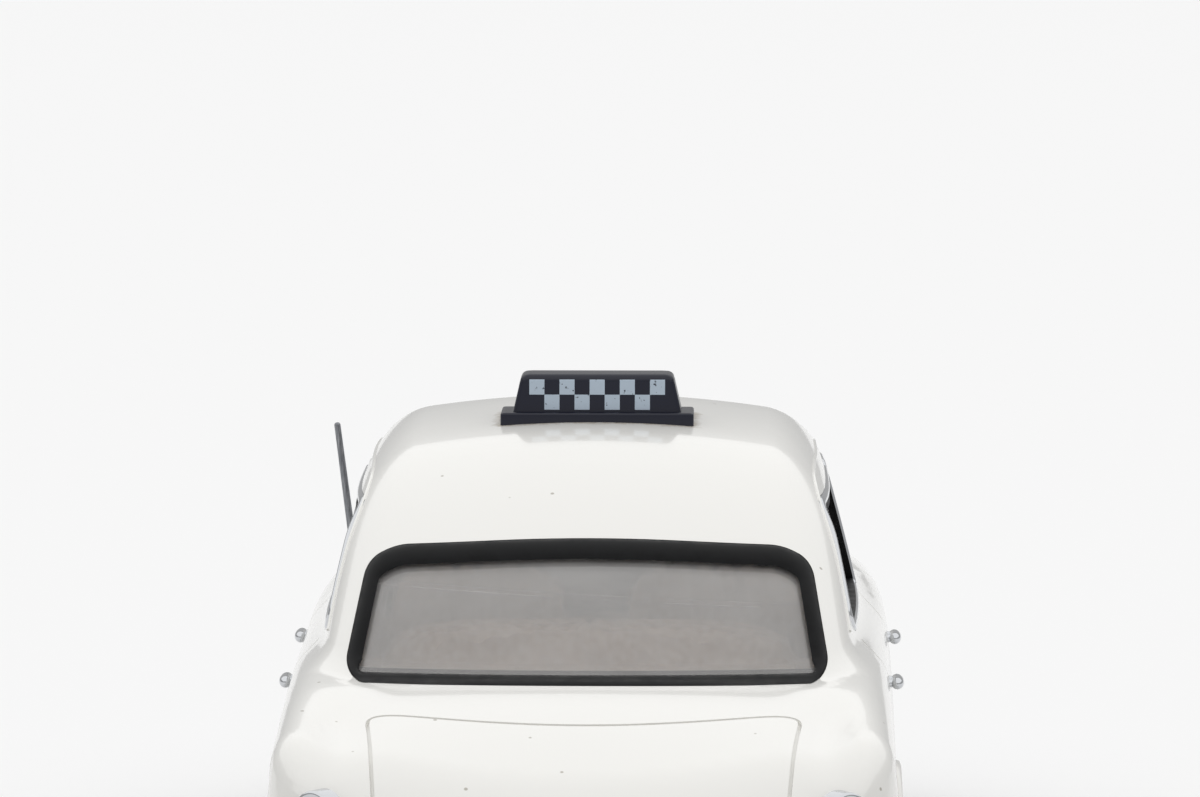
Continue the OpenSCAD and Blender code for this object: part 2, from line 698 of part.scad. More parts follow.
// Clear moulding: it lines the cabin, and a raised pane of it fills each window inside its rubber or frame
glazing_gap = 0.66;
cabin_fan = 18.5;
pane_set = 0.5;
seal_narrow = 0.62;
function pane_edge(outline, width, narrow) =
    let (path = divided(outline, 2))
    [for (i = [0:len(path) - 1])
        let (in = inward(path, i)) path[i] + in * (4 * fit + band_width(width, narrow, in))];
// One half of the outline of an end window, from the foot to the head of its middle line
function half_edge(edge, side) =
    let (heights = [for (p = edge) p.y])
    concat([for (p = edge) if (side * p.x > 0.5) p], [[0, max(heights)], [0, min(heights)]]);
module pane(edge, place, along) {
    n = len(edge);
    middle = [for (p = edge) 1 / n] * edge;
    front = [for (share = [1, 0.7, 0.35], p = edge)
        on_body(place(middle + (p - middle) * share), along, -pane_set)];
    back = [for (p = edge) on_body(place(p), along, -shell_wall - glazing_gap - 1.5 * glazing_wall)];
    hull()
        polyhedron(concat(front, back), [for (i = [1:4 * n - 2]) [0, i, i + 1]]);
}
module cabin_lining(depth, foot) {
    skin_solid(cabin_form, -shell_wall - glazing_gap - depth, cabin_fan - rear_window_base,
        windscreen_base - cabin_fan, foot, 14, 7, 22);
}
module glazing() {
    color([0.75, 0.80, 0.82, 0.5])
        difference() {
            union() {
                cabin_lining(0, glazing_foot);
                for (side = [LEFT, RIGHT]) {
                    pane(half_edge(pane_edge(windscreen_outline, seal_width, seal_narrow), side),
                        across_place, [0, FRONT, 0]);
                    pane(half_edge(pane_edge(rear_window_outline, seal_width, seal_narrow), side),
                        across_place, [0, REAR, 0]);
                    pane(pane_edge(front_window_outline, trim_width, 0), along_place, [side, 0, 0]);
                    pane(pane_edge(rear_door_window_outline, trim_width, 0), along_place, [side, 0, 0]);
                }
            }
            cabin_lining(glazing_wall, glazing_foot - 0.5);
        }
}

// Rubber surrounds of the windscreen and the rear window
seal_depth = 1.7;
seal_proud = 0.12;
module windscreen_seal() {
    color("black")
        window_band(windscreen_outline, across_place, [0, FRONT, 0], seal_width, seal_narrow,
            seal_depth, seal_proud);
}
module rear_window_seal() {
    color("black")
        window_band(rear_window_outline, across_place, [0, REAR, 0], seal_width, seal_narrow,
            seal_depth, seal_proud);
}

// Plated frames of the side windows
module window_trim(outline, side) {
    color("silver")
        window_band(outline, along_place, [side, 0, 0], trim_width, 0, shell_wall * 0.9, seal_proud);
}

// Bumper: a plated blade that wraps round the corners, with two overriders and two brackets
bumper_wrap = 8;
overrider_x = 9.0;
function bumper_point(end, t) = [
    (half_width + 0.05) * sin(90 * t),
    end * (half_length + bumper_gap + bumper_thickness / 2 - bumper_wrap * (1 - cos(90 * t)) ^ 1.6),
    bumper_z];
function bumper_ring(end, t, sides) =
    let (
        ahead = unit(bumper_point(end, t + 0.01) - bumper_point(end, t - 0.01)),
        out = [ahead.y, -ahead.x, 0]
    )
    [for (k = [0:sides - 1])
        let (a = 360 * (k + 0.5) / sides)
        bumper_point(end, t) + out * cos(a) * bumper_thickness / 2 + [0, 0, sin(a) * bumper_height / 2]];
module bumper_blade(end) {
    sides = 10;
    stations = 17;
    rings = [for (i = [0:stations - 1]) each bumper_ring(end, 2 * i / (stations - 1) - 1, sides)];
    at = function(i, k) i * sides + k % sides;
    polyhedron(rings, concat(
        [for (i = [0:stations - 2], k = [0:sides - 1]) each [
            [at(i, k), at(i, k + 1), at(i + 1, k + 1)], [at(i, k), at(i + 1, k + 1), at(i + 1, k)]]],
        [[for (k = [sides - 1:-1:0]) at(0, k)], [for (k = [0:sides - 1]) at(stations - 1, k)]]));
}
module bumper(end) {
    color("silver") {
        bumper_blade(end);
        for (x = [-1, 1] * overrider_x)
            hull() {
                for (z = [-1, 1])
                    translate([x, end * (half_length + bumper_gap + bumper_thickness - 0.3), bumper_z + z * 1.0])
                        sphere(r = 0.9, $fn = 12);
            }
        bumper_brackets(end, 0);
    }
}

// Grille: a plated frame with upright bars in front of a closed back
module grille() {
    bars = 11;
    frame = 0.6;
    back = grille_face - grille_depth;
    color("silver") {
        difference() {
            grille_block(0, back, grille_face);
            grille_block(frame, back + 0.7, grille_face + 1);
        }
        for (i = [1:bars])
            translate([(i / (bars + 1) - 0.5) * (grille_width - 2 * frame), back + 0.95, grille_z])
                cube([0.4, 0.7, grille_height - frame], center = true);
    }
}

// Headlamp: a plated bezel ring that holds a clear domed lens
headlamp_z = sill_height + 10.2;
headlamp_depth = 1.5;
headlamp_rim = 0.55;
function lamp_face(x, z) = on_body([abs(x), 0, z], [0, FRONT, 0]).y;
module facing_front(x, z) {
    translate([x, lamp_face(x, z), z])
        rotate([-90, 0, 0])
            children();
}
module headlamp_bezel(side) {
    color("silver")
        facing_front(side * headlamp_x, headlamp_z)
            rotate_extrude($fn = 48)
                difference() {
                    union() {
                        translate([0, -headlamp_depth])
                            square([headlamp_radius, headlamp_depth + 0.5]);
                        translate([headlamp_radius - headlamp_rim, 0.5])
                            circle(r = headlamp_rim, $fn = 24);
                        translate([0, 0.5])
                            square([headlamp_radius - headlamp_rim, headlamp_rim]);
                    }
                    translate([-1, 0.4 - headlamp_depth])
                        square([headlamp_radius - headlamp_rim + 1, headlamp_depth + 3]);
                }
}
module headlamp_lens(side) {
    lens = headlamp_radius - headlamp_rim - fit;
    dome = 0.55;
    ball = (lens ^ 2 + dome ^ 2) / (2 * dome);
    color("whitesmoke")
        facing_front(side * headlamp_x, headlamp_z)
            rotate_extrude($fn = 48)
                union() {
                    translate([0, 0.4 - headlamp_depth])
                        square([lens, headlamp_depth + 0.1]);
                    intersection() {
                        translate([0, 0.5 + dome - ball])
                            circle(r = ball, $fn = 96);
                        translate([0, 0.4])
                            square([lens, 2]);
                    }
                }
}

// Front indicator: a small amber dome on a stem
indicator_x = 15.6;
indicator_z = sill_height + 6.7;
indicator_radius = 1.0;
indicator_depth = 1.4;
module front_indicator(side) {
    color("orange")
        facing_front(side * indicator_x, indicator_z)
            rotate_extrude($fn = 32)
                intersection() {
                    translate([0, -indicator_depth])
                        square([indicator_radius, indicator_depth + 2]);
                    union() {
                        circle(r = indicator_radius, $fn = 48);
                        translate([0, -indicator_depth])
                            square([indicator_radius, indicator_depth]);
                    }
                }
}

// Tail lamp: a plated base let into the wing, with a red lens on it
module tail_lamp_base(side) {
    color("silver")
        tail_lamp_block(side, tail_lamp_radius, tail_lamp_depth, tail_lamp_stand);
}
module tail_lamp_lens(side) {
    color("crimson")
        tail_lamp_block(side, tail_lamp_radius - 0.4, -tail_lamp_stand, tail_lamp_stand + 0.8);
}

// Number plates, plain and bare
module number_plate(end) {
    color("black")
        number_plate_block(end, 0);
}

// Plated handle on the boot lid
module boot_handle() {
    color("silver") {
        hull() {
            for (x = [-1, 1] * boot_handle_width / 2)
                translate([x, boot_handle_out, boot_handle_z])
                    sphere(r = handle_rod, $fn = 12);
        }
        boot_handle_tab(0);
    }
}

// Plated door handle: a short bar on a tab that goes into the door
module door_handle(side, y) {
    place = handle_place(side, y);
    color("silver") {
        hull() {
            for (dy = [-1, 1] * (handle_length / 2 - handle_rod))
                translate(place + [side * handle_stand, dy, 0])
                    sphere(r = handle_rod, $fn = 12);
        }
        handle_tab(side, y, 0);
    }
}

// Roof sign: a dark moulding with a stepped foot and a tapering box, on two pegs
module roof_sign() {
    box_length = sign_foot_length - 2 * sign_step;
    box_depth = sign_foot_depth - 1.0;
    round = 0.25;
    color("midnightblue") {
        sign_foot(0);
        hull() {
            for (x = [-1, 1], y = [-1, 1]) {
                translate([sign_x + x * (box_length / 2 - round), sign_y + y * (box_depth / 2 - round),
                    sign_foot_z + sign_foot_height - 0.1])
                    cylinder(r = round, h = 0.1, $fn = 16);
                translate([sign_x + x * (box_length / 2 - sign_taper - round),
                    sign_y + y * (box_depth / 2 - 0.15 - round),
                    sign_foot_z + sign_foot_height + sign_box_height - round])
                    sphere(r = round, $fn = 16);
            }
        }
        sign_pegs(sign_peg_radius, sign_peg_length);
    }
}

// Aerial: a plated foot on the left front wing, and a thin grey rod
module aerial_base() {
    color("silver")
        difference() {
            translate([aerial_x, aerial_y, aerial_foot_z + 0.25])
                rotate_extrude($fn = 32) {
                    intersection() {
                        circle(r = aerial_foot_radius, $fn = 48);
                        square([aerial_foot_radius, aerial_foot_radius]);
                    }
                    translate([0, -2])
                        square([aerial_stem_radius, 2]);
                }
            aerial_rod(aerial_radius + fit);
        }
}
module aerial_rod(radius) {
    translate([aerial_x, aerial_y, aerial_foot_z + 0.25])
        rotate([0, -aerial_lean, 0])
            cylinder(r = radius, h = aerial_length, $fn = 24);
}
module aerial() {
    color("gray")
        aerial_rod(aerial_radius);
}

// Axles: steel rods that turn in the lugs
axle_half = track / 2 + 0.6;
module axle(y) {
    color("silver")
        translate([-axle_half, y, axle_z])
            rotate([0, 90, 0])
                cylinder(r = axle_diameter / 2, h = 2 * axle_half, $fn = 32);
}

// A wheel's own frame has the axle along +Z, with the outer side of the car upwards
rim_half = tyre_width / 2 - 0.3;
module at_wheel(side, y) {
    translate([side * track / 2, y, axle_z])
        rotate([0, 90 * side, 0])
            children();
}
module wheel(side, y) {
    hub_length = track / 2 - rim_half - wheel_room_x - 2 * running_fit;
    color("gainsboro")
        at_wheel(side, y)
            difference() {
                union() {
                    translate([0, 0, -rim_half])
                        cylinder(r = wheel_diameter / 2, h = 2 * rim_half, $fn = 64);
                    translate([0, 0, -rim_half - hub_length])
                        cylinder(r = axle_diameter / 2 + 1, h = hub_length + 0.1, $fn = 32);
                }
                translate([0, 0, rim_half - 0.8])
                    cylinder(r = wheel_diameter / 2 - 0.7, h = 2, $fn = 64);
                translate([0, 0, -rim_half - hub_length - 1])
                    cylinder(r = axle_diameter / 2 + fit, h = hub_length + rim_half + 1.6 + fit, $fn = 32);
            }
}
module tyre(side, y) {
    outer = tyre_diameter / 2;
    inner = wheel_diameter / 2 + fit;
    shoulder = 0.9;
    color([0.08, 0.08, 0.08])
        at_wheel(side, y)
            rotate_extrude($fn = 64)
                union() {
                    translate([inner, -tyre_width / 2 + shoulder])
                        square([outer - inner, tyre_width - 2 * shoulder]);
                    translate([inner, -tyre_width / 2])
                        square([outer - inner - shoulder, tyre_width]);
                    for (z = [-1, 1])
                        translate([outer - shoulder, z * (tyre_width / 2 - shoulder)])
                            circle(r = shoulder, $fn = 32);
                }
}
module hub_cap(side, y) {
    cap = wheel_diameter / 2 - 1.2;
    dome = 0.9;
    ball = (cap ^ 2 + dome ^ 2) / (2 * dome);
    color("silver")
        at_wheel(side, y)
            translate([0, 0, rim_half - 0.8])
                rotate_extrude($fn = 48)
                    intersection() {
                        translate([0, dome - ball])
                            circle(r = ball, $fn = 128);
                        square([cap, dome + 1]);
                    }
}

body_shell();
base_plate();
base_screws();
interior_tub();
dashboard();
steering_wheel();
glazing();
windscreen_seal();
rear_window_seal();
window_trim(front_window_outline, LEFT);  // window_trim_front_left
window_trim(front_window_outline, RIGHT);  // window_trim_front_right
window_trim(rear_door_window_outline, LEFT);  // window_trim_rear_left
window_trim(rear_door_window_outline, RIGHT);  // window_trim_rear_right
bumper(FRONT);  // front_bumper
bumper(REAR);  // rear_bumper
grille();
headlamp_bezel(LEFT);  // headlamp_bezel_left
headlamp_bezel(RIGHT);  // headlamp_bezel_right
headlamp_lens(LEFT);  // headlamp_lens_left
headlamp_lens(RIGHT);  // headlamp_lens_right
front_indicator(LEFT);  // front_indicator_left
front_indicator(RIGHT);  // front_indicator_right
tail_lamp_base(LEFT);  // tail_lamp_base_left
tail_lamp_base(RIGHT);  // tail_lamp_base_right
tail_lamp_lens(LEFT);  // tail_lamp_lens_left
tail_lamp_lens(RIGHT);  // tail_lamp_lens_right
number_plate(FRONT);  // front_number_plate
number_plate(REAR);  // rear_number_plate
boot_handle();
door_handle(LEFT, handle_front_y);  // door_handle_front_left
door_handle(RIGHT, handle_front_y);  // door_handle_front_right
door_handle(LEFT, handle_rear_y);  // door_handle_rear_left
door_handle(RIGHT, handle_rear_y);  // door_handle_rear_right
roof_sign();
aerial_base();
aerial();
axle(front_axle_y);  // front_axle
axle(rear_axle_y);  // rear_axle
wheel(LEFT, front_axle_y);  // wheel_front_left
wheel(RIGHT, front_axle_y);  // wheel_front_right
wheel(LEFT, rear_axle_y);  // wheel_rear_left
wheel(RIGHT, rear_axle_y);  // wheel_rear_right
tyre(LEFT, front_axle_y);  // tyre_front_left
tyre(RIGHT, front_axle_y);  // tyre_front_right
tyre(LEFT, rear_axle_y);  // tyre_rear_left
tyre(RIGHT, rear_axle_y);  // tyre_rear_right
hub_cap(LEFT, front_axle_y);  // hub_cap_front_left
hub_cap(RIGHT, front_axle_y);  // hub_cap_front_right
hub_cap(LEFT, rear_axle_y);  // hub_cap_rear_left
hub_cap(RIGHT, rear_axle_y);  // hub_cap_rear_right
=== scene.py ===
import bpy
import numpy as np
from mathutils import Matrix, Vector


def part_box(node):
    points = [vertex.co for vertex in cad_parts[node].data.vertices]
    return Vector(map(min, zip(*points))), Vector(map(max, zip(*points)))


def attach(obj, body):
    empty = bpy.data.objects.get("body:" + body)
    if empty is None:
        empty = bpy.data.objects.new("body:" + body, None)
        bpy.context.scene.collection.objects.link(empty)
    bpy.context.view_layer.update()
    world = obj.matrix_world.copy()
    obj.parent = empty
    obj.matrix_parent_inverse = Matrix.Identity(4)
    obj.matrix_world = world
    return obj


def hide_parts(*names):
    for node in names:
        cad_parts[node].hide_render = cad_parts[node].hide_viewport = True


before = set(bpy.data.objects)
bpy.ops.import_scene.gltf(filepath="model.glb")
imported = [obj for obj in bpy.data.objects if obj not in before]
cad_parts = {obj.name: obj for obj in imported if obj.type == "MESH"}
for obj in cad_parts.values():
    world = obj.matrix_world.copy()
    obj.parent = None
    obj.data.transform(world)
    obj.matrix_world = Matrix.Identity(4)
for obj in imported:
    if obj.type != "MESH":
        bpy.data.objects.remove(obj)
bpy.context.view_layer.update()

# Body shell. One hollow casting in zinc alloy: roof, wings, doors, bonnet and boot in one piece, with the
# windows and wheel arches left open and the shut lines of doors and lids sunk into its skin.
# It is dipped in white enamel, which pools to a gloss and rounds every edge a little.
MM = 0.001
LEFT, RIGHT, REAR, FRONT = -1, 1, -1, 1
hands = ((LEFT, "left"), (RIGHT, "right"))


def box_mm(node):
    """The low and the high corner of a CAD node's box, in millimetres."""
    return [np.array(c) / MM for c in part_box(node)]


shell_low, shell_high = box_mm("body_shell")
half_width, half_length = shell_high[:2]
sill_height, roof_height = shell_low[2], shell_high[2]
belt_height = 22.0
cabin_width = 37.0
windscreen_base = 25.6
rear_window_base = 34.8
windscreen_rake = np.radians(42)
rear_window_rake = np.radians(34.8)
door_pillar_y = 2.8
boot_step = 0.9
shell_wall = 1.2
widest_z = sill_height + 7.2


def rounded_cut(a, b, r):
    """Meeting of two solids, with the edge between them rounded to radius r."""
    return np.minimum(np.maximum(a, b), -r) + np.hypot(np.maximum(a + r, 0), np.maximum(b + r, 0))


def smooth(low, high, v):
    """Step from 0 to 1 between low and high, level at both ends: 3t^2 - 2t^3."""
    t = np.clip((v - low) / (high - low), 0, 1)
    return t * t * (3 - 2 * t)


def deck(x, y):
    """Height of bonnet, waist and boot: parabolas along the car, blended from the middle to the wing crests
    by the square of the distance across, less a step down to the boot and a bell-shaped valley inside each
    wing."""
    ahead = np.maximum(y - windscreen_base + 0.6, 0)
    behind = np.maximum(0.8 - rear_window_base - y, 0)
    step = boot_step * smooth(rear_window_base - 8, rear_window_base, -y)
    middle = belt_height + 0.3 - 0.02 * ahead - 0.0062 * ahead ** 2 - 0.16 * behind - 0.0125 * behind ** 2 - step
    wing_ahead = np.maximum(y - 16, 0)
    wing_behind = np.maximum(-22 - y, 0)
    wing = (belt_height - 0.008 * wing_ahead - 0.0021 * wing_ahead ** 2
            - 0.03 * wing_behind - 0.0034 * wing_behind ** 2)
    across = np.minimum(np.abs(x) / (0.86 * half_width), 1.15)
    on_bonnet = smooth(windscreen_base - 1.6, windscreen_base + 10.4, y)
    on_boot = smooth(rear_window_base - 1.8, rear_window_base + 6.2, -y)
    bonnet_valley = 1.1 * np.exp(-((np.abs(x) - 0.59 * half_width) / 2.3) ** 2)
    boot_valley = 0.7 * np.exp(-((np.abs(x) - 0.74 * half_width) / 2.0) ** 2)
    return middle + (wing - middle) * across ** 2 - on_bonnet * bonnet_valley - on_boot * boot_valley


def lower_body(x, y, z):
    """Depth outside the lower body: tucked sides cut round by the deck, and then by the bowed nose and tail."""
    wide = half_width - 0.016 * np.maximum(10 - y, 0) - 0.0009 * np.maximum(y - 10, 0) ** 2
    tuck = 0.016 * np.maximum(widest_z - z, 0) ** 2 + 0.009 * np.maximum(z - widest_z, 0) ** 2
    side = np.abs(x) - (wide - tuck)
    top = (z - deck(x, y)) * 0.96
    lean = 3.3 * (np.abs(x) / half_width) ** 2.5 + 0.020 * np.maximum(z - widest_z + 2, 0) ** 2
    return rounded_cut(rounded_cut(side, top, 2.2), np.abs(y) - (half_length - lean), 3.4)


def cabin(x, y, z):
    """Depth outside the cabin: leaning sides, a crowned roof, and the sloping planes of the two end windows."""
    up = z - belt_height + 1
    half = cabin_width / 2 - 0.0016 * (y + 3) ** 2 - 0.22 * up - 0.003 * np.maximum(up, 0) ** 2
    behind = np.maximum(4 - y, 0)
    ahead = np.maximum(y - 4, 0)
    crown = roof_height - 0.005 * behind ** 2 - 3.9e-6 * behind ** 4 - 0.006 * ahead ** 2 - 0.006 * x ** 2
    windscreen = ((y - windscreen_base + 0.010 * x ** 2) * np.sin(windscreen_rake)
                  + (z - belt_height + 0.2) * np.cos(windscreen_rake))
    rear_window = ((-rear_window_base - y + 0.007 * x ** 2) * np.sin(rear_window_rake)
                   + (z - belt_height - 0.2) * np.cos(rear_window_rake))
    sides = rounded_cut((np.abs(x) - half) * 0.96, (z - crown) * 0.96, 2.8)
    front = rounded_cut(sides, windscreen, 3.0)
    return np.maximum(rounded_cut(front, rear_window, 4.0), belt_height - 5 - z)


def whole_body(points):
    """Depth of points outside the whole body: the cabin joined to the lower body with a fillet, which is the rounded
    meeting of what lies outside them."""
    x, y, z = np.moveaxis(points, -1, 0)
    return -rounded_cut(-lower_body(x, y, z), -cabin(x, y, z), 1.2)


def on_body(start, along, depth=0.0):
    """Points where rays from inside meet the skin at a depth, found by halving an interval of 70 mm."""
    start, along = np.broadcast_arrays(np.asarray(start, float), np.asarray(along, float))
    near, far = np.zeros(start.shape[:-1]), np.full(start.shape[:-1], 70.0)
    for _ in range(36):
        mid = (near + far) / 2
        inside = whole_body(start + along * mid[..., None]) < depth
        near, far = np.where(inside, mid, near), np.where(inside, far, mid)
    return start + along * near[..., None]


def unit(v):
    """Directions brought to length one."""
    return v / np.linalg.norm(v, axis=-1, keepdims=True)


def skin_normal(points):
    """Outward direction of the skin: the slope of its depth, from differences over 0.01 mm."""
    return unit(np.stack([whole_body(points + s) - whole_body(points - s) for s in np.eye(3) * 0.01], -1))


def points_at(*columns):
    """Points from their coordinates, each a row of numbers or one number for all of them."""
    return np.stack(np.broadcast_arrays(*columns), -1)


def on_circle(turn):
    """Points on the circle of radius one at given turns."""
    return points_at(np.cos(turn), np.sin(turn))


def grid_faces(rows, columns, close_rows=False, close_columns=False):
    """Quads of a grid of points that are numbered row by row."""
    i, j = np.meshgrid(np.arange(rows if close_rows else rows - 1),
                       np.arange(columns if close_columns else columns - 1), indexing="ij")
    i2, j2 = (i + 1) % rows, (j + 1) % columns
    quads = points_at(i * columns + j, i2 * columns + j, i2 * columns + j2, i * columns + j2)
    return quads.reshape(-1, 4).tolist()


def outward(points, faces):
    """The same closed solid with its faces turned outwards, by the sign of its volume."""
    points = np.asarray(points, float).reshape(-1, 3)
    fans = np.array([(f[0], f[k], f[k + 1]) for f in faces for k in range(1, len(f) - 1)])
    a, b, c = (points[fans[:, k]] for k in range(3))
    if np.einsum("ij,ij->", a, np.cross(b, c)) < 0:
        faces = [list(f)[::-1] for f in faces]
    return points, faces


def joined(*parts):
    """Several solids as the one mesh of a piece."""
    points, faces, first = [], [], 0
    for part_points, part_faces in parts:
        points.append(part_points)
        faces += [[k + first for k in f] for f in part_faces]
        first += len(part_points)
    return np.concatenate(points), faces


def tube(rings, closed=False):
    """Solid through a row of rings of points: a closed loop, or a run with flat ends."""
    rings = np.asarray(rings, float)
    n, k = rings.shape[:2]
    faces = grid_faces(n, k, close_rows=closed, close_columns=True)
    if not closed:
        faces += [list(range(k)), list(range(n * k - 1, (n - 1) * k - 1, -1))]
    return outward(rings, faces)


def mesh_of(name, part):
    """A mesh in metres from a part in millimetres, shaded smooth with edges over 35 degrees kept sharp."""
    mesh = bpy.data.meshes.new(name)
    mesh.from_pydata((part[0] * MM).tolist(), [], part[1])
    mesh.shade_smooth()
    mesh.set_sharp_from_angle(angle=np.radians(35))
    mesh.update()
    return mesh


def placed(name, data):
    """An object of the scene that shows a mesh, a lamp or a camera."""
    made = bpy.data.objects.new(name, data)
    bpy.context.scene.collection.objects.link(made)
    return made


def piece(name, part, body, slot, material, *nodes):
    """A finished piece: it rides on a body, takes a finish and stands for CAD nodes, which it hides; the slot is not
    used.
    """
    mesh = part if isinstance(part, bpy.types.Mesh) else mesh_of(name, part)
    made = placed(name, mesh)
    mesh.materials.clear()
    mesh.materials.append(material)
    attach(made, body)
    if nodes:
        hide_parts(*nodes)


def skin_part(depth, ends_at, foot_z, along, round_end, around):
    """Solid inside the skin at a depth: rays fan out from a level line along the car and round its two ends,
    each ray at a turn about the car from right to left, and the foot is cut off level."""
    turn = np.pi / 2 * np.arange(1, round_end) / round_end
    y = np.concatenate([np.full(round_end - 1, -ends_at), np.linspace(-ends_at, ends_at, along + 1),
                        np.full(round_end - 1, ends_at)])
    tip = np.concatenate([-turn[::-1], np.zeros(along + 1), turn])[:, None]
    a = np.linspace(0, np.pi, around + 1)
    ray = points_at(np.cos(a) * np.cos(tip), np.sin(tip), np.sin(a) * np.cos(tip))
    start = np.zeros(ray.shape)
    start[..., 1], start[..., 2] = y[:, None], foot_z
    rows, columns = len(y), around + 1
    grid = on_body(start, ray, depth).reshape(-1, 3)
    tips = on_body([[0, -ends_at, foot_z], [0, ends_at, foot_z]], [[0, REAR, 0], [0, FRONT, 0]], depth)
    tail, nose = rows * columns, rows * columns + 1
    edge = [tail, *range(0, tail, columns), nose, *range(tail - 1, -1, -columns)]
    faces = grid_faces(rows, columns)
    faces += [[tail, j, j + 1] for j in range(around)]
    faces += [[nose, tail - columns + j + 1, tail - columns + j] for j in range(around)]
    return outward(np.concatenate([grid, tips]), faces + [edge[::-1]])


def rounded(points, radii, steps=10):
    """Outline with arcs for corners: each arc touches the two sides that meet at its corner."""
    points = np.array(points, float)
    arcs = []
    for a, b, c, r in zip(np.roll(points, 1, 0), points, np.roll(points, -1, 0), radii):
        u, v = unit(a - b), unit(c - b)
        half = np.arccos(u @ v) / 2
        centre = b + unit(u + v) * r / np.sin(half)
        first = np.arctan2(*(b + u * r / np.tan(half) - centre)[::-1])
        sweep = (np.pi - 2 * half) * np.sign((b - a)[0] * (c - b)[1] - (b - a)[1] * (c - b)[0])
        t = first + sweep * np.linspace(0, 1, steps + 1)
        arcs.append(centre + r * on_circle(t))
    return np.concatenate(arcs)


def rounded_box(half, r, inset=0.0):
    """Rectangle about the origin with rounded corners, from its half size, drawn in by a distance."""
    x, z, r = half[0] - inset, half[2] - inset, max(r - inset, 0.1)
    return rounded([[-x, -z], [x, -z], [x, z], [-x, z]], [r] * 4)


def evenly(outline, count, closed=True):
    """The same line as count points at equal steps along it."""
    line = np.concatenate([outline, outline[:1]]) if closed else np.asarray(outline, float)
    run = np.concatenate([[0], np.cumsum(np.linalg.norm(np.diff(line, axis=0), axis=1))])
    at = np.linspace(0, run[-1], count, endpoint=not closed)
    return np.stack([np.interp(at, run, line[:, k]) for k in range(line.shape[1])], -1)


def across_car(outline):
    """Outline of across and up, set on the car's cross plane."""
    return np.insert(outline, 1, 0.0, axis=1)


def along_car(outline):
    """Outline of along and up, set on the car's middle plane."""
    return np.insert(outline, 0, 0.0, axis=1)


screen_foot = belt_height + 0.35
window_foot = belt_height + 0.9
window_head = roof_height - 4.4
rear_foot = belt_height - 0.7
rear_head = belt_height + 7.4
pillar_half = 1.1
front_pillar_y = windscreen_base - 5.4
rear_pillar_y = -rear_window_base + 12.2
front_lean = (window_head - window_foot) / np.tan(windscreen_rake)
rear_lean = 0.85 * (window_head - window_foot)
rear_window_outline = rounded(
    [[-0.43 * cabin_width, rear_foot], [0.43 * cabin_width, rear_foot],
     [0.397 * cabin_width, rear_head - 1.4], [0.345 * cabin_width, rear_head - 0.5], [0, rear_head + 0.16],
     [-0.345 * cabin_width, rear_head - 0.5], [-0.397 * cabin_width, rear_head - 1.4]],
    [1.2, 1.2, 2.0, 4.6, 120, 4.6, 2.0])
windscreen_outline = rounded(
    [[-0.43 * cabin_width, screen_foot + 0.25], [0.43 * cabin_width, screen_foot + 0.25],
     [0.355 * cabin_width, window_head + 0.1], [0, window_head + 0.9], [-0.355 * cabin_width, window_head + 0.1]],
    [1.6, 1.6, 2.4, 100, 2.4])
front_window_outline = rounded(
    [[door_pillar_y + pillar_half, window_foot], [front_pillar_y, window_foot],
     [front_pillar_y - front_lean, window_head], [door_pillar_y + pillar_half, window_head]],
    [0.7, 0.8, 1.4, 0.9])
rear_door_window_outline = rounded(
    [[rear_pillar_y, window_foot], [door_pillar_y - pillar_half, window_foot],
     [door_pillar_y - pillar_half, window_head], [rear_pillar_y + rear_lean, window_head - 0.5]],
    [1.2, 0.7, 0.9, 3.0])
end_windows = [("windscreen", windscreen_outline, across_car, [0, FRONT, 0]),
               ("rear_window", rear_window_outline, across_car, [0, REAR, 0])]
side_windows = [(which, hand, outline, along_car, [side, 0, 0]) for side, hand in hands
                for which, outline in (("front", front_window_outline), ("rear", rear_door_window_outline))]
windows = [window[-3:] for window in end_windows + side_windows]


def prism(outline, shift):
    """Solid between an outline in space and the same outline shifted."""
    return tube(np.stack([outline, outline + shift]))


def run_of(path, closed):
    """Steps along a path at each of its points."""
    return np.roll(path, -1, 0) - np.roll(path, 1, 0) if closed else np.gradient(path, axis=0)


def groove(path, closed, width=0.26, sink=0.3, clear=0.4):
    """Cutter for a shut line: a narrow box carried along a path on the skin, square to it."""
    out = skin_normal(path)
    side = unit(np.cross(run_of(path, closed), out))
    corners = [(-1, -sink), (1, -sink), (1, clear), (-1, clear)]
    return tube(np.stack([path + side * width / 2 * s + out * h for s, h in corners], 1), closed)


def round_turn(count):
    """Angles at equal steps round a full turn."""
    return np.linspace(0, 2 * np.pi, count, endpoint=False)


def rod(path, radius, sides=12):
    """Round bar along a path: circles square to its run, from one steady side direction."""
    run = unit(run_of(path, False))
    u = unit(np.cross(run, np.eye(3)[np.argmin(np.ptp(path, axis=0))]))
    v = np.cross(run, u)
    a = round_turn(sides)[:, None]
    radius = np.broadcast_to(radius, len(path))[:, None, None]
    return tube(path[:, None] + radius * (u[:, None] * np.cos(a) + v[:, None] * np.sin(a)))


def worked(mesh, operation, *parts):
    """The mesh with solids cut from it or joined to it, one after another."""
    for part in parts:
        base, tool = placed("work", mesh), placed("tool", mesh_of("tool", part))
        change = base.modifiers.new("change", "BOOLEAN")
        change.operation = operation
        change.solver = "MANIFOLD"
        change.object = tool
        bpy.context.view_layer.update()
        mesh = bpy.data.meshes.new_from_object(base.evaluated_get(bpy.context.evaluated_depsgraph_get()))
        bpy.data.objects.remove(base)
        bpy.data.objects.remove(tool)
    return mesh


front_axle_y, axle_z = sum(box_mm("front_axle"))[1:] / 2
rear_axle_y = sum(box_mm("rear_axle"))[1] / 2
arch_radius = box_mm("tyre_front_left")[1][2] / 2 + 1.1
wheel_room_x = box_mm("tyre_front_right")[0][0] - 1.1
gutter_radius = 0.12
arch_lip_radius = 0.34


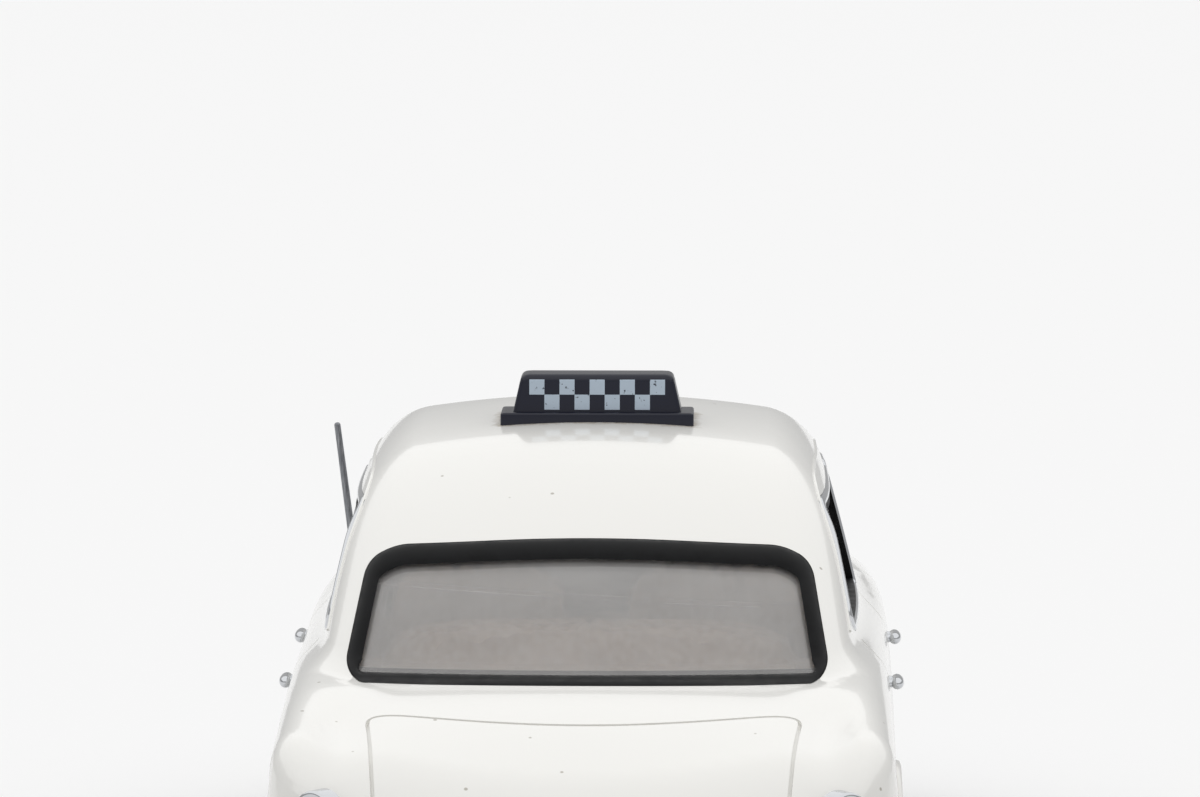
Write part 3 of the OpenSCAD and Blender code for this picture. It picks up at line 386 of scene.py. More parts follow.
def arch_line(radius, count):
    """Wheel arch outline, along and up from the axle: a half circle on straight legs."""
    bow = radius * on_circle(np.linspace(0, np.pi, count))
    return np.concatenate([[[radius, -axle_z]], bow, [[-radius, -axle_z]]])


gutter_line = np.array([[front_pillar_y + 1.6, window_foot + 1.2],
                        [front_pillar_y - front_lean + 1.9, window_head + 0.6],
                        [front_pillar_y - front_lean - 0.5, window_head + 1.15], [door_pillar_y, window_head + 1.2],
                        [-9.0, window_head + 1.1], [-14.5, window_head + 0.3], [-18.2, window_head - 2.6],
                        [-21.2, window_head - 6.0], [-24.4, window_foot + 0.6]])
gutter_path = evenly(gutter_line, 90, closed=False)
for _ in range(40):
    gutter_path[1:-1] = (gutter_path[:-2] + gutter_path[2:]) / 2
beads = []
openings = [skin_part(-shell_wall, half_length - 20, sill_height - 0.6, along=60, round_end=14, around=80)]
openings += [prism(place(outline), np.array(along) * half_length) for outline, place, along in windows]
for side in (LEFT, RIGHT):
    beads.append(rod(on_body(along_car(gutter_path), [side, 0, 0]), gutter_radius))
    for axle_y in (front_axle_y, rear_axle_y):
        lip = arch_line(arch_radius + 0.15, 40)[1:-1] + [axle_y, axle_z]
        beads.append(rod(on_body(along_car(lip), [side, 0, 0]), arch_lip_radius))
        mouth = along_car(arch_line(arch_radius, 48) + [axle_y, axle_z]) + [side * wheel_room_x, 0, 0]
        openings.append(prism(mouth, [side * half_width, 0, 0]))
lamp_gap, lamp_reach = 0.03, 8
for node in ("headlamp_bezel_left", "headlamp_bezel_right", "front_indicator_left", "front_indicator_right"):
    low, high = box_mm(node)
    mouth = across_car(on_circle(round_turn(64)) * ((high - low)[0] / 2 + lamp_gap))
    openings.append(prism(mouth + (low + high) / 2 * [1, 0, 1] + low * [0, 1, 0], [0, lamp_reach, 0]))

# The grille's recess has walls of its own, which run from its floor to just below the skin.
grille_low, grille_high = box_mm("grille")
grille_middle = (grille_low + grille_high) / 2 * [1, 0, 1]
grille_half = (grille_high - grille_low) / 2
grille_corner = 1.4
mouth = across_car(rounded_box(grille_half, grille_corner)) + grille_low * [0, 1, 0]
recess = mouth * [1.1, 1, 1.17] + grille_middle - [0, 0.2, 0]
recess = tube(np.stack([recess, on_body(recess, [0, FRONT, 0], -0.3)]))

door_foot = sill_height + 1.3
front_door = [[front_pillar_y + 1.9, belt_height + 0.3], [front_pillar_y + 1.3, door_foot + 6],
              [front_pillar_y + 0.9, door_foot + 0.8], [front_pillar_y + 0.2, door_foot],
              [door_pillar_y, door_foot]]
rear_door = [[door_pillar_y, window_head + 0.9], [door_pillar_y, door_foot], [-18.6, door_foot],
             [-19.6, door_foot + 0.6], [-20.2, door_foot + 2.2], [-20.4, 15.0], [-19.6, belt_height + 0.3]]
shut_lines = []
for side in (LEFT, RIGHT):
    for line in (front_door, rear_door):
        path = evenly(np.array(line), 140, closed=False)
        path[1:-1] = (path[:-2] + 2 * path[1:-1] + path[2:]) / 4
        shut_lines.append(groove(on_body(along_car(path), [side, 0, 0]), False))
bonnet = rounded([[-14.2, windscreen_base + 1.6], [0, windscreen_base + 3.2], [14.2, windscreen_base + 1.6],
                  [12.2, half_length - 5.2], [0, half_length - 3.6], [-12.2, half_length - 5.2]],
                 [2.0, 20, 2.0, 2.5, 14, 2.5])
bonnet = np.insert(evenly(bonnet[::-1], 200), 2, 10.0, axis=1)
shut_lines.append(groove(on_body(bonnet, [0, 0, 1]), True))
boot_turn = np.radians(np.linspace(62, -6, 60))
boot_side = along_car(on_circle(boot_turn) * [-1, 1])
boot_x = np.linspace(13.9, 12.6, 60)
boot_centre = np.array([0, -35.6, 12.6])
boot_left = on_body(boot_centre + np.outer(-boot_x, [1, 0, 0]), boot_side)
over = np.linspace(1, -1, 50)
boot_front = points_at(boot_x[0] * over, boot_left[0, 1] - 1.3 * np.cos(np.pi / 2 * over), 12.0)
boot_back = points_at(-boot_x[-1] * over, -35.0, boot_left[-1, 2])
lid = np.concatenate([on_body(boot_front, [0, 0, 1]), boot_left[1:-1], on_body(boot_back, [0, REAR, 0]),
                      boot_left[-2:0:-1] * [-1, 1, 1]])
lid = evenly(lid, 320)
for _ in range(16):
    lid = (np.roll(lid, 1, 0) + 2 * lid + np.roll(lid, -1, 0)) / 4
lid_ray = unit((lid - boot_centre) * [0, 1, 1])
shut_lines.append(groove(on_body(boot_centre * [0, 1, 1] + lid * [1, 0, 0], lid_ray), True))

shell = mesh_of("body_shell", skin_part(0, half_length - 19, sill_height, along=150, round_end=34, around=160))
shell = worked(shell, "UNION", *beads)
shell = worked(shell, "DIFFERENCE", *openings)
shell = worked(shell, "UNION", recess)
shell = worked(shell, "DIFFERENCE", prism(mouth + grille_middle, [0, lamp_reach, 0]), *shut_lines)


def skin_shaded(mesh):
    """Corner normals from the skin's own slope wherever a face lies on the skin, so that cuts leave no dents."""
    def read(items, key, width, kind=np.float32):
        values = np.empty(len(items) * width, kind)
        items.foreach_get(key, values)
        return values.reshape(-1, width)

    points = read(mesh.vertices, "co", 3) / MM
    corner = read(mesh.loops, "vertex_index", 1, np.int32)[:, 0]
    count = read(mesh.polygons, "loop_total", 1, np.int32)[:, 0]
    flat = np.repeat(read(mesh.polygons, "normal", 3), count, 0)
    mesh.shade_smooth()
    mesh.set_sharp_from_angle(angle=np.radians(35))
    normals = read(mesh.corner_normals, "vector", 3)
    true = skin_normal(points)[corner]
    on_skin = (np.abs(whole_body(points)) < 0.03)[corner] & (np.einsum("ij,ij->i", true, flat) > 0.8)
    normals[on_skin] = true[on_skin]
    mesh.normals_split_custom_set(normals.tolist())
    return mesh


def srgb(code):
    """Linear colour of an sRGB hex value: each channel by the standard curve, with full alpha."""
    v = np.array([int(code[k:k + 2], 16) for k in (1, 3, 5)]) / 255
    return (*np.where(v > 0.04045, ((v + 0.055) / 1.055) ** 2.4, v / 12.92), 1.0)


def add(tree, kind, settings=None, into=None, **links):
    """One node of a kind, or of a kind and an operation, with its settings and links; its first live output comes
    back. A link's name is the input's, or in0, in1 by number; into names the shader's input that the node feeds. The
    stops of a colour ramp are pairs of place and colour."""
    kind, _, operation = kind.partition(".")
    made = tree.nodes.new("ShaderNode" + kind)
    if operation:
        made.operation = operation
    for key, value in (settings or {}).items():
        if key == "stops":
            for stop, (at, code) in zip(made.color_ramp.elements, value):
                stop.position, stop.color = at, srgb(code)
        elif isinstance(key, int) or key in made.inputs:
            made.inputs[key].default_value = value
        else:
            setattr(made, key, value)
    for key, source in links.items():
        tree.links.new(source, made.inputs[int(key[2:]) if key[2:].isdigit() else key])
    live = next(socket for socket in made.outputs if socket.enabled)
    if into:
        tree.links.new(live, tree.nodes["Principled BSDF"].inputs[into])
    return live


def material(name, code, roughness, metallic=0.0, **sockets):
    """A principled material of one colour; its tree and its object coordinates come back for patterns."""
    made = bpy.data.materials.new(name)
    made.use_nodes = True
    sockets |= {"Base_Color": srgb(code), "Roughness": roughness, "Metallic": metallic}
    for key, value in sockets.items():
        made.node_tree.nodes["Principled BSDF"].inputs[key.replace("_", " ")].default_value = value
    return made, made.node_tree, add(made.node_tree, "TexCoord").node.outputs["Object"]


# White enamel, sprayed or dipped over cast metal: it shows a wide soft gloss with a faint orange peel of
# about 2 mm, specks of dust caught in the paint, and a warm grey bloom of glue and dirt round the sign's foot.
enamel_white = "#f1f0ec"
enamel, tree, place = material("white_enamel", enamel_white, 0.2, Coat_Weight=0.6, Coat_Roughness=0.06)
peel = add(tree, "TexNoise", {"Scale": 1 / (2.0 * MM), "Detail": 2.0}, Vector=place)
add(tree, "Bump", {"Strength": 0.05, "Distance": 0.05 * MM}, "Normal", Height=peel)
speck = add(tree, "TexVoronoi", {"Scale": 1 / (2.6 * MM)}, Vector=place)
speck = add(tree, "ValToRGB", {"stops": ((0.035, "#000000"), (0.06, "#ffffff"))}, Fac=speck)
sign_low, sign_high = box_mm("roof_sign")
sign_middle, sign_half = (sign_low + sign_high) / 2, (sign_high - sign_low) / 2
from_foot = place
for operation, by in (("SUBTRACT", sign_middle * MM), ("ABSOLUTE", None), ("SUBTRACT", sign_half * [1, 1, 2] * MM),
                      ("MAXIMUM", (0, 0, 0)), ("LENGTH", None)):
    from_foot = add(tree, f"VectorMath.{operation}", {} if by is None else {1: by}, in0=from_foot)
smear = add(tree, "TexNoise", {"Scale": 1 / (0.8 * MM), "Detail": 4.0, "Roughness": 0.7}, Vector=place)
smear = add(tree, "Math.MULTIPLY_ADD", {1: 1.6 * MM}, in0=smear, in2=from_foot)
clean = add(tree, "MapRange", {"From Min": 0.55 * MM, "From Max": 1.35 * MM}, Value=smear)
dirt = add(tree, "ValToRGB", {"stops": ((0.0, "#b9ab97"), (1.0, "#ffffff"))}, Fac=clean)
dusty = add(tree, "Mix", {"data_type": "RGBA", "blend_type": "MULTIPLY", 0: 1.0, 6: srgb(enamel_white)}, in7=dirt)
add(tree, "Mix", {"data_type": "RGBA", 6: srgb("#b8b4aa")}, "Base Color", in0=speck, in7=dusty)
piece("body_shell_cast", skin_shaded(shell), "body", "white_enamel", enamel, "body_shell")

# Window rubbers. Black rubber strips moulded to the shape of the windscreen and the rear window, pushed into the
# edge of each opening: broad over the top and down the sides, and a thin line along the foot.
outline_points = 240
rubber_depth, trim_proud, edge_gap = 1.5, 0.16, 0.03


def inward_of(path):
    """Directions into a closed flat outline, square to its run."""
    return unit(run_of(path, True)[:, ::-1] * [-1, 1])


def band(outline, place, along, width, depth, proud, start=edge_gap):
    """Strip that lines an opening: a half-sine bulge carried round the outline, square to the skin, with its two
    walls run back along the opening; the width may change round the outline."""
    path = evenly(outline, outline_points)
    inward = inward_of(path)
    u = np.linspace(0, 1, 9)
    wide = np.broadcast_to(width(inward) if callable(width) else width, outline_points)
    across = path[:, None] + inward[:, None] * (start + wide[:, None] * u)[..., None]
    face = on_body(place(across.reshape(-1, 2)), along)
    face = face + skin_normal(face) * np.tile(proud * np.sin(np.pi * u) ** 0.6, outline_points)[:, None]
    face = face.reshape(outline_points, len(u), 3)
    back = face[:, [-1, 0]] - np.array(along) * depth
    return tube(np.concatenate([face, back], 1), closed=True)


def rubber_width(inward):
    """Full width over the top and the sides, narrowed to a line along the foot and broadened a little at the head."""
    return 1.0 - 0.62 * smooth(0.5, 0.95, inward[:, 1]) + 0.12 * smooth(0.2, 0.9, -inward[:, 1])


# Moulded black rubber: near black, half matt, with a fine dusty bloom that breaks up its shine.
rubber, tree, place = material("black_rubber", "#101113", 0.5, Specular_IOR_Level=0.12)
bloom = add(tree, "TexNoise", {"Scale": 1 / (1.2 * MM), "Detail": 5.0, "Roughness": 0.7}, Vector=place)
add(tree, "ValToRGB", {"stops": ((0.35, "#060607"), (0.8, "#141517"))}, "Base Color", Fac=bloom)
add(tree, "ValToRGB", {"stops": ((0.3, "#909090"), (0.75, "#c4c4c4"))}, "Roughness", Fac=bloom)
add(tree, "Bump", {"Strength": 0.12, "Distance": 0.05 * MM}, "Normal", Height=bloom)
for which, *window in end_windows:
    piece(f"{which}_rubber", band(*window, rubber_width, rubber_depth, trim_proud), "body", "seal_rubber", rubber,
          f"{which}_seal")

# Side window frames. Thin bright strips round the four side windows, plated like the bumpers, with a narrow black
# rubber channel inside each that grips the edge of the glass.
frame_width, channel_width, channel_sunk = 0.5, 0.3, 0.12

# Bright metal over plastic: a mirror with a faint uneven ripple and a thin film of handling marks.
chrome, tree, place = material("bright_plating", "#cdcfd2", 0.08, 1.0)
film = add(tree, "TexNoise", {"Scale": 1 / (0.5 * MM), "Detail": 4.0}, Vector=place)
add(tree, "MapRange", {"From Min": 0.35, "From Max": 0.75, "To Min": 0.03, "To Max": 0.2}, "Roughness", Value=film)
add(tree, "Bump", {"Strength": 0.04, "Distance": 0.04 * MM}, "Normal", Height=film)


def plated(name, part, *nodes):
    """A piece of plated plastic that is fixed to the body."""
    piece(name, part, "body", "plated_plastic", chrome, *nodes)


for which, hand, *window in side_windows:
    plated(f"{which}_window_frame_{hand}", band(*window, frame_width, 0.9 * shell_wall, trim_proud),
           f"window_trim_{which}_{hand}")
    channel = band(*window, channel_width, 0.8 * shell_wall, -channel_sunk, edge_gap + frame_width)
    piece(f"{which}_window_channel_{hand}", channel, "body", "seal_rubber", rubber)

# Glazing. One clear styrene moulding lines the cabin and shows as six panes; each is curved with the skin and stands
# a little back inside its rubber or frame. Years of handling have left it hazy, with fine scratches and dust.
pane_depth, pane_thickness, pane_inset, pane_rings = 0.5, 0.8, 0.3, 30


def pane(outline, place, along):
    """Curved plate inside an outline: rings drawn in from its edge to its middle, a little below the skin."""
    path = evenly(outline, outline_points)
    path = path + inward_of(path) * pane_inset
    middle = path.mean(0)
    shares = np.linspace(1, 0.02, pane_rings)[:, None, None]
    flat = (middle + (path - middle) * shares).reshape(-1, 2)
    front = on_body(place(flat), along, -pane_depth).reshape(pane_rings, outline_points, 3)
    return tube(np.concatenate([front[::-1], front - np.array(along) * pane_thickness]))


# Clear styrene gone hazy: most light goes straight through and some scatters off a milky bloom. One long hair scratch
# runs almost level across the rear window and catches the light in places.
glass, tree, place = material("clear_styrene", "#eeecea", 0.05, IOR=1.55, Transmission_Weight=0.75)
haze = add(tree, "TexNoise", {"Scale": 1 / (4.0 * MM), "Detail": 4.0, "Roughness": 0.65}, Vector=place)
sloped = add(tree, "VectorMath.DOT_PRODUCT", {1: (0.047, 0.0, 1.0)}, in0=place)
scratch = add(tree, "Math.COMPARE", {1: 25.95 * MM, 2: 0.014 * MM}, in0=sloped)
along_y = add(tree, "SeparateXYZ", in0=place).node.outputs["Y"]
behind = add(tree, "Math.LESS_THAN", {1: -20.0 * MM}, in0=along_y)
broken = add(tree, "MapRange", {"From Min": 0.42, "From Max": 0.62}, Value=haze)
for share in (behind, broken):
    scratch = add(tree, "Math.MULTIPLY", in0=scratch, in1=share)
cloudy = add(tree, "MapRange", {"From Min": 0.3, "From Max": 0.75, "To Min": 0.03, "To Max": 0.12}, Value=haze)
add(tree, "Math.MULTIPLY_ADD", {1: 0.15}, "Roughness", in0=scratch, in2=cloudy)
clear = add(tree, "MapRange", {"From Min": 0.25, "From Max": 0.8, "To Min": 0.8, "To Max": 0.72}, Value=haze)
add(tree, "Math.MULTIPLY_ADD", {1: -0.12}, "Transmission Weight", in0=scratch, in2=clear)
piece("window_panes", joined(*(pane(*window) for window in windows)), "body", "clear_plastic", glass, "glazing")

# Roof sign. A navy plastic moulding on two pegs: a broad stepped foot and a box that tapers upwards. Its two long
# faces carry a plain printed chequer in pale blue-grey; no lettering is printed on it.
sign_x, sign_y = sign_middle[:2]
foot_half_x, foot_half_y = sign_half[:2]
sign_foot_z, sign_top_z = sign_high[2] - 3.4, sign_high[2] + 0.2
box_half_x, box_half_y = foot_half_x - 0.82, foot_half_y - 0.5
foot_height, foot_round, box_round, box_lean_x, box_lean_y = 1.0, 0.18, 0.5, 0.5, 0.14


def rounded_block(rows):
    """Block built of level rounded rectangles; each row gives height, half length, half depth and corner radius."""
    rings = []
    for z, half_x, half_y, r in rows:
        ring = on_circle(round_turn(64) + np.pi / 64)
        ring = np.sign(ring) * [half_x - r, half_y - r] + r * ring
        rings.append(np.insert(ring + [sign_x, sign_y], 2, z, axis=1))
    return tube(rings)


edge = np.radians(np.linspace(0, 90, 6))
foot_rows = [(sign_foot_z, foot_half_x, foot_half_y, 0.2)]
foot_rows += [(sign_foot_z + foot_height - foot_round * (1 - np.sin(e)), foot_half_x - foot_round * (1 - np.cos(e)),
               foot_half_y - foot_round * (1 - np.cos(e)), 0.2) for e in edge]
box_rows = [(sign_foot_z + 0.9 + 2.2 * share, box_half_x - box_lean_x * share, box_half_y - box_lean_y * share, 0.3)
            for share in np.linspace(0, 1, 8)]
box_rows += [(sign_top_z - box_round * (1 - np.sin(e)), box_half_x - 0.52 - box_round * (1 - np.cos(e)),
              box_half_y - 0.15 - box_round * (1 - np.cos(e)), 0.35) for e in edge]

# Moulded navy styrene, glossy, with a printed ink film whose edges and wear come from a fine noise. The chequer is
# nine cells long and two high.
navy_blue, cell_mm = "#0c1024", 1.03
navy, tree, place = material("navy_styrene", navy_blue, 0.3, Specular_IOR_Level=0.45)
first_cell = (-(sign_x - 4.5 * cell_mm) / cell_mm, 0.5, -(sign_foot_z + 1.17) / cell_mm)
cells = add(tree, "Mapping", {"Location": first_cell, "Scale": (1 / (cell_mm * MM), 0.0, 1 / (cell_mm * MM))},
            Vector=place)
mask = add(tree, "TexChecker", {"Scale": 1.0, "Color1": (1, 1, 1, 1), "Color2": (0, 0, 0, 1)}, Vector=cells)
cell_axes = add(tree, "SeparateXYZ", in0=cells).node.outputs
across = add(tree, "Math.COMPARE", {1: 4.5, 2: 4.5}, in0=cell_axes["X"])
upward = add(tree, "Math.COMPARE", {1: 1.0, 2: 1.0}, in0=cell_axes["Z"])
along_y = add(tree, "SeparateXYZ", in0=place).node.outputs["Y"]
deep = add(tree, "Math.SUBTRACT", {1: sign_y * MM}, in0=along_y)
deep = add(tree, "Math.ABSOLUTE", in0=deep)
faced = add(tree, "Math.GREATER_THAN", {1: (box_half_y - 0.35) * MM}, in0=deep)
wear = add(tree, "TexNoise", {"Scale": 1 / (0.25 * MM), "Detail": 3.0}, Vector=place)
inked = add(tree, "MapRange", {"From Min": 0.30, "From Max": 0.36}, Value=wear)
for share in (across, upward, faced, inked):
    mask = add(tree, "Math.MULTIPLY", in0=mask, in1=share)
add(tree, "Mix", {"data_type": "RGBA", 6: srgb(navy_blue), 7: srgb("#b4c2d0")}, "Base Color", in0=mask)
add(tree, "MapRange", {"To Min": 0.3, "To Max": 0.5}, "Roughness", Value=mask)
piece("roof_sign_box", joined(rounded_block(foot_rows), rounded_block(box_rows)), "body", "sign_plastic", navy,
      "roof_sign")

# Bumpers. Plastic blades plated bright, front and rear: a bow-fronted strip with a raised rib along its middle,
# wrapped round the corners of the body and held by two short brackets, with two upright overriders on its face.
bumper_z = sum(box_mm("rear_bumper"))[2] / 2
blade_gap, blade_thickness, blade_height, blade_bow = 0.9, 1.1, 2.2, 8.0
rib_height, rib_width, bracket_half = 0.16, 0.22, [1.2, 0.5]
overrider_x, overrider_radius, overrider_half = 9.0, 0.85, 1.85


def squared(sides, power):
    """Circle of radius one squared off: its cosines and sines to a power, with their signs kept."""
    ring = on_circle(round_turn(sides))
    return np.sign(ring) * np.abs(ring) ** power


def blade(end):
    """Bumper strip: a flattened oval with a rib, carried round a quarter-sine bow and drawn in at its two tips."""
    t = np.linspace(-1, 1, 121)
    bow = blade_bow * (1 - np.cos(np.pi / 2 * t)) ** 1.6
    path = points_at((half_width + 0.05) * np.sin(np.pi / 2 * t),
                     end * (half_length + blade_gap + blade_thickness / 2 - bow), bumper_z)
    out = unit(run_of(path, False)[:, [1, 0, 2]] * [1, -1, 0])
    out *= np.sign(out[60, 1] * end)
    u, v = (squared(44, 0.75) * [blade_thickness / 2, blade_height / 2]).T
    u = u + np.where(u > 0, rib_height * np.exp(-(v / rib_width) ** 2) - 0.05, 0)
    tip = np.sqrt(np.maximum(1 - np.clip((np.abs(t) - 0.965) / 0.035, 0, 0.999) ** 2, 0))[:, None, None]
    return tube(path[:, None] + tip * (out[:, None] * u[:, None] + np.array([0, 0, 1]) * v[:, None]))


def bumper(end):
    """The blade with its overriders, which are rods with rounded ends, and its two flat brackets."""
    parts = [blade(end)]
    s = np.sin(np.linspace(-np.pi / 2, np.pi / 2, 25)) * 0.998
    face = end * (half_length + blade_gap + blade_thickness - 0.3)
    for x in (-overrider_x, overrider_x):
        upright = points_at(x, face - end * 0.25 * s ** 2, bumper_z + overrider_half * s)
        parts.append(rod(upright, overrider_radius * (1 - np.abs(s) ** 2.6) ** 0.5, sides=20))
        inner = on_body([[x, 0, bumper_z]], [0, end, 0], -0.6)[0, 1]
        bracket = squared(24, 0.3) * bracket_half + [x, bumper_z]
        parts.append(prism(across_car(bracket) + [0, inner, 0], [0, face - end * 0.4 - inner, 0]))
    return joined(*parts)


plated("front_bumper_blade", bumper(FRONT), "front_bumper")
plated("rear_bumper_blade", bumper(REAR), "rear_bumper")

# Grille. A plated moulding set into the nose between the wings: a rounded frame with eleven upright bars that stand
# in front of a back panel, and the panel is washed with black so that the bars show.
grille_back, grille_front, grille_z = grille_low[1], grille_high[1], grille_middle[2]
rim_round, bar_y, bar_half_x, bar_half_y, bar_half_z = 0.3, grille_back + 0.95, 0.2, 0.4, 2.0


def grille_ring(inset, y):
    """Rounded rectangle of the grille, drawn in by a distance, at a place along the car."""
    return across_car(evenly(rounded_box(grille_half, grille_corner, inset), 160)) + grille_middle + [0, y, 0]


frame_rings = [grille_ring(0.0, grille_back)]
frame_rings += [grille_ring(rim_round * (1 - np.cos(e)), grille_front - rim_round * (1 - np.sin(e)))
                for e in np.radians(np.linspace(0, 180, 9))]
frame_rings += [grille_ring(2 * rim_round, grille_back)]
bars = []
section = round_turn(20)
for x in (np.arange(1, 12) / 12 - 0.5) * 2 * (grille_half[0] - 2 * rim_round):
    bar = points_at(x + bar_half_x * np.cos(section), bar_y + bar_half_y * np.sin(section), grille_z)
    bars.append(tube([bar + [0, 0, z] for z in np.linspace(-bar_half_z, bar_half_z, 5)]))
plated("grille_bars", joined(tube(frame_rings, closed=True), *bars), "grille")


def mottled(base, grain_mm, tones, relief=None, **noise):
    """A base material with its colour run between two tones in patches of a noise; a relief of the same noise is given
    as strength and height."""
    made, tree, place = base
    patches = add(tree, "TexNoise", {"Scale": 1 / (grain_mm * MM), **noise}, Vector=place)
    add(tree, "ValToRGB", {"stops": tones}, "Base Color", Fac=patches)
    if relief:
        add(tree, "Bump", {"Strength": relief[0], "Distance": relief[1] * MM}, "Normal", Height=patches)
    return made


wash = mottled(material("black_wash", "#121314", 0.6), 0.6, ((0.3, "#0c0d0e"), (0.8, "#2c2d2f")), Detail=3.0)
panel = [grille_ring(0.55, y) for y in (grille_back + 0.05, grille_back + 0.5)]
piece("grille_back_panel", tube(panel), "body", "plated_plastic", wash)

# Headlamps. Each is a plated bezel pushed into a round seat in the wing, with a clear fluted lens in front of a
# bright dished reflector; below it a small amber indicator is pushed into a seat of its own.
bezel_round, lens_inset, lens_bulge, indicator_bulge = 0.55, 0.58, 0.6, 0.7


def lathe(profile, centre, axis, sides=64):
    """Rings of a turned solid: a profile of radius and height carried round an axis through a centre."""
    profile = np.asarray(profile, float)
    w = np.asarray(axis, float)
    u = unit(np.cross(w, np.eye(3)[np.argmin(np.abs(w))]))
    v = np.cross(w, u)
    a = round_turn(sides)[:, None]
    return np.asarray(centre) + profile[:, :1, None] * (u * np.cos(a) + v * np.sin(a)) + profile[:, 1:, None] * w


lamp_white, tree, place = material("clear_lens", "#eef1f2", 0.04, IOR=1.5, Transmission_Weight=0.92)
flutes = add(tree, "TexWave", {"Scale": 1 / (2.4 * MM), "bands_direction": "X"}, Vector=place).node.outputs["Fac"]
add(tree, "Bump", {"Strength": 0.5, "Distance": 0.12 * MM}, "Normal", Height=flutes)
amber, tree, place = material("amber_lens", "#e07a10", 0.12, IOR=1.5, Transmission_Weight=0.35)
uneven = add(tree, "TexNoise", {"Scale": 1 / (0.7 * MM)}, Vector=place)
add(tree, "Bump", {"Strength": 0.15, "Distance": 0.05 * MM}, "Normal", Height=uneven)
bow = np.radians(np.linspace(-20, 200, 23))
dish = np.linspace(0, 1, 12)
rise = np.radians(np.linspace(0, 88, 14))
for side, hand in hands:
    low, high = box_mm(f"headlamp_bezel_{hand}")
    lamp_centre = (low + high) / 2 * [1, 0, 1] + high * [0, 1, 0]
    r, back = (high[0] - low[0]) / 2, low[1] - high[1]
    rim = [r, 0] - bezel_round * (1 - on_circle(bow))
    rim = np.concatenate([[[r - 0.05, back]], rim, [[r - 1.0, back]]])
    plated(f"headlamp_ring_{hand}", tube(lathe(rim, lamp_centre, [0, 1, 0]), closed=True), f"headlamp_bezel_{hand}")
    bowl = points_at(0.05 + (r - 0.75) * dish, -1.9 + 0.9 * dish ** 2)
    bowl = np.concatenate([bowl, [[r - 0.65, -1.2], [0.05, -2.3]]])
    plated(f"headlamp_reflector_{hand}", tube(lathe(bowl, lamp_centre, [0, 1, 0]), closed=True))
    dome = on_circle(rise) * [r - lens_inset, lens_bulge] - [0, 0.62]
    dome = np.concatenate([[[r - lens_inset, -0.85]], dome])
    piece(f"headlamp_glass_{hand}", tube(lathe(dome, lamp_centre, [0, 1, 0])), "body", "lamp_clear", lamp_white,
          f"headlamp_lens_{hand}")
    low, high = box_mm(f"front_indicator_{hand}")
    seat = (low + high) / 2 * [1, 0, 1] + low * [0, 1, 0]
    r, h = (high[0] - low[0]) / 2, high[1] - low[1]
    bulb = on_circle(rise) * [r, indicator_bulge] + [0, h - indicator_bulge]
    bulb = np.concatenate([[[r, 0.0], [r, h - 0.75]], bulb])
    piece(f"indicator_{hand}", tube(lathe(bulb, seat, [0, 1, 0])), "body", "lamp_amber", amber,
          f"front_indicator_{hand}")

# Tail lamps. A plated base with straight sides and round ends stands upright on each rear corner, turned outwards, and
# a red lens is pushed onto its face; the lens is crowned and moulded with fine level ribs.
red, tree, place = material("red_lens", "#b80f16", 0.13, IOR=1.5, Transmission_Weight=0.25)
ribs = add(tree, "TexWave", {"Scale": 1 / (2.0 * MM), "bands_direction": "Z"}, Vector=place).node.outputs["Fac"]
add(tree, "Bump", {"Strength": 0.45, "Distance": 0.1 * MM}, "Normal", Height=ribs)
tail_x, tail_turn = half_width - 4.4, np.radians(34)
tail_low, tail_high = sill_height + 7.1, sill_height + 10.5
tail_y = on_body([[tail_x, 0, (tail_low + tail_high) / 2]], [0, REAR, 0])[0, 1]


def upright_lamp(side, rows):
    """Solid of upright long-round outlines; each row gives a distance out from the skin and a radius."""
    a = round_turn(64)
    out = np.array([side * np.sin(tail_turn), -np.cos(tail_turn), 0])
    across = np.array([np.cos(tail_turn), side * np.sin(tail_turn), 0])
    level = np.where(np.sin(a) > 0, tail_high, tail_low)
    return tube([[side * tail_x, tail_y, 0] + out * d + across * (r * np.cos(a))[:, None]
                 + np.array([0, 0, 1]) * (level + r * np.sin(a))[:, None] for d, r in rows])


mount_radius, mount_round, tail_lens_radius, crown = 1.5, 0.2, 1.1, np.radians(np.linspace(0, 86, 12))
mount_rows = [(-0.9, mount_radius), *((0.3 + mount_round * np.sin(e), mount_radius - mount_round * (1 - np.cos(e)))
                                      for e in edge)]
lens_rows = [(0.4, tail_lens_radius), *((0.75 + 0.6 * np.sin(e), tail_lens_radius * np.cos(e)) for e in crown)]
for side, hand in hands:
    plated(f"tail_lamp_mount_{hand}", upright_lamp(side, mount_rows), f"tail_lamp_base_{hand}")
    piece(f"tail_lamp_glass_{hand}", upright_lamp(side, lens_rows), "body", "lamp_red", red, f"tail_lamp_lens_{hand}")

# Number plates. Two thin plates of black plastic, glued to the nose and the tail, with a raised rim round a bare face;
# no number is printed on them.
gloss_black, tree, place = material("black_styrene", "#0d0e10", 0.22, Coat_Weight=0.3)
rubbed = add(tree, "TexNoise", {"Scale": 1 / (0.9 * MM), "Detail": 4.0}, Vector=place)
add(tree, "ValToRGB", {"stops": ((0.35, "#303030"), (0.8, "#6a6a6a"))}, "Roughness", Fac=rubbed)
plate_corner = 0.5
for end, which in ((FRONT, "front"), (REAR, "rear")):
    low, high = box_mm(f"{which}_number_plate")
    middle, half = (low + high) / 2, (high - low) / 2
    rings = []
    for inset, y in ((0, -half[1]), (0, half[1] - 0.1), (0.1, half[1]), (0.28, half[1]), (0.34, half[1] - 0.07)):
        rings.append(across_car(evenly(rounded_box(half, plate_corner, inset), 160)) + middle + [0, end * y, 0])
    piece(f"{which}_plate", tube(rings), "body", "plate_plastic", gloss_black, f"{which}_number_plate")

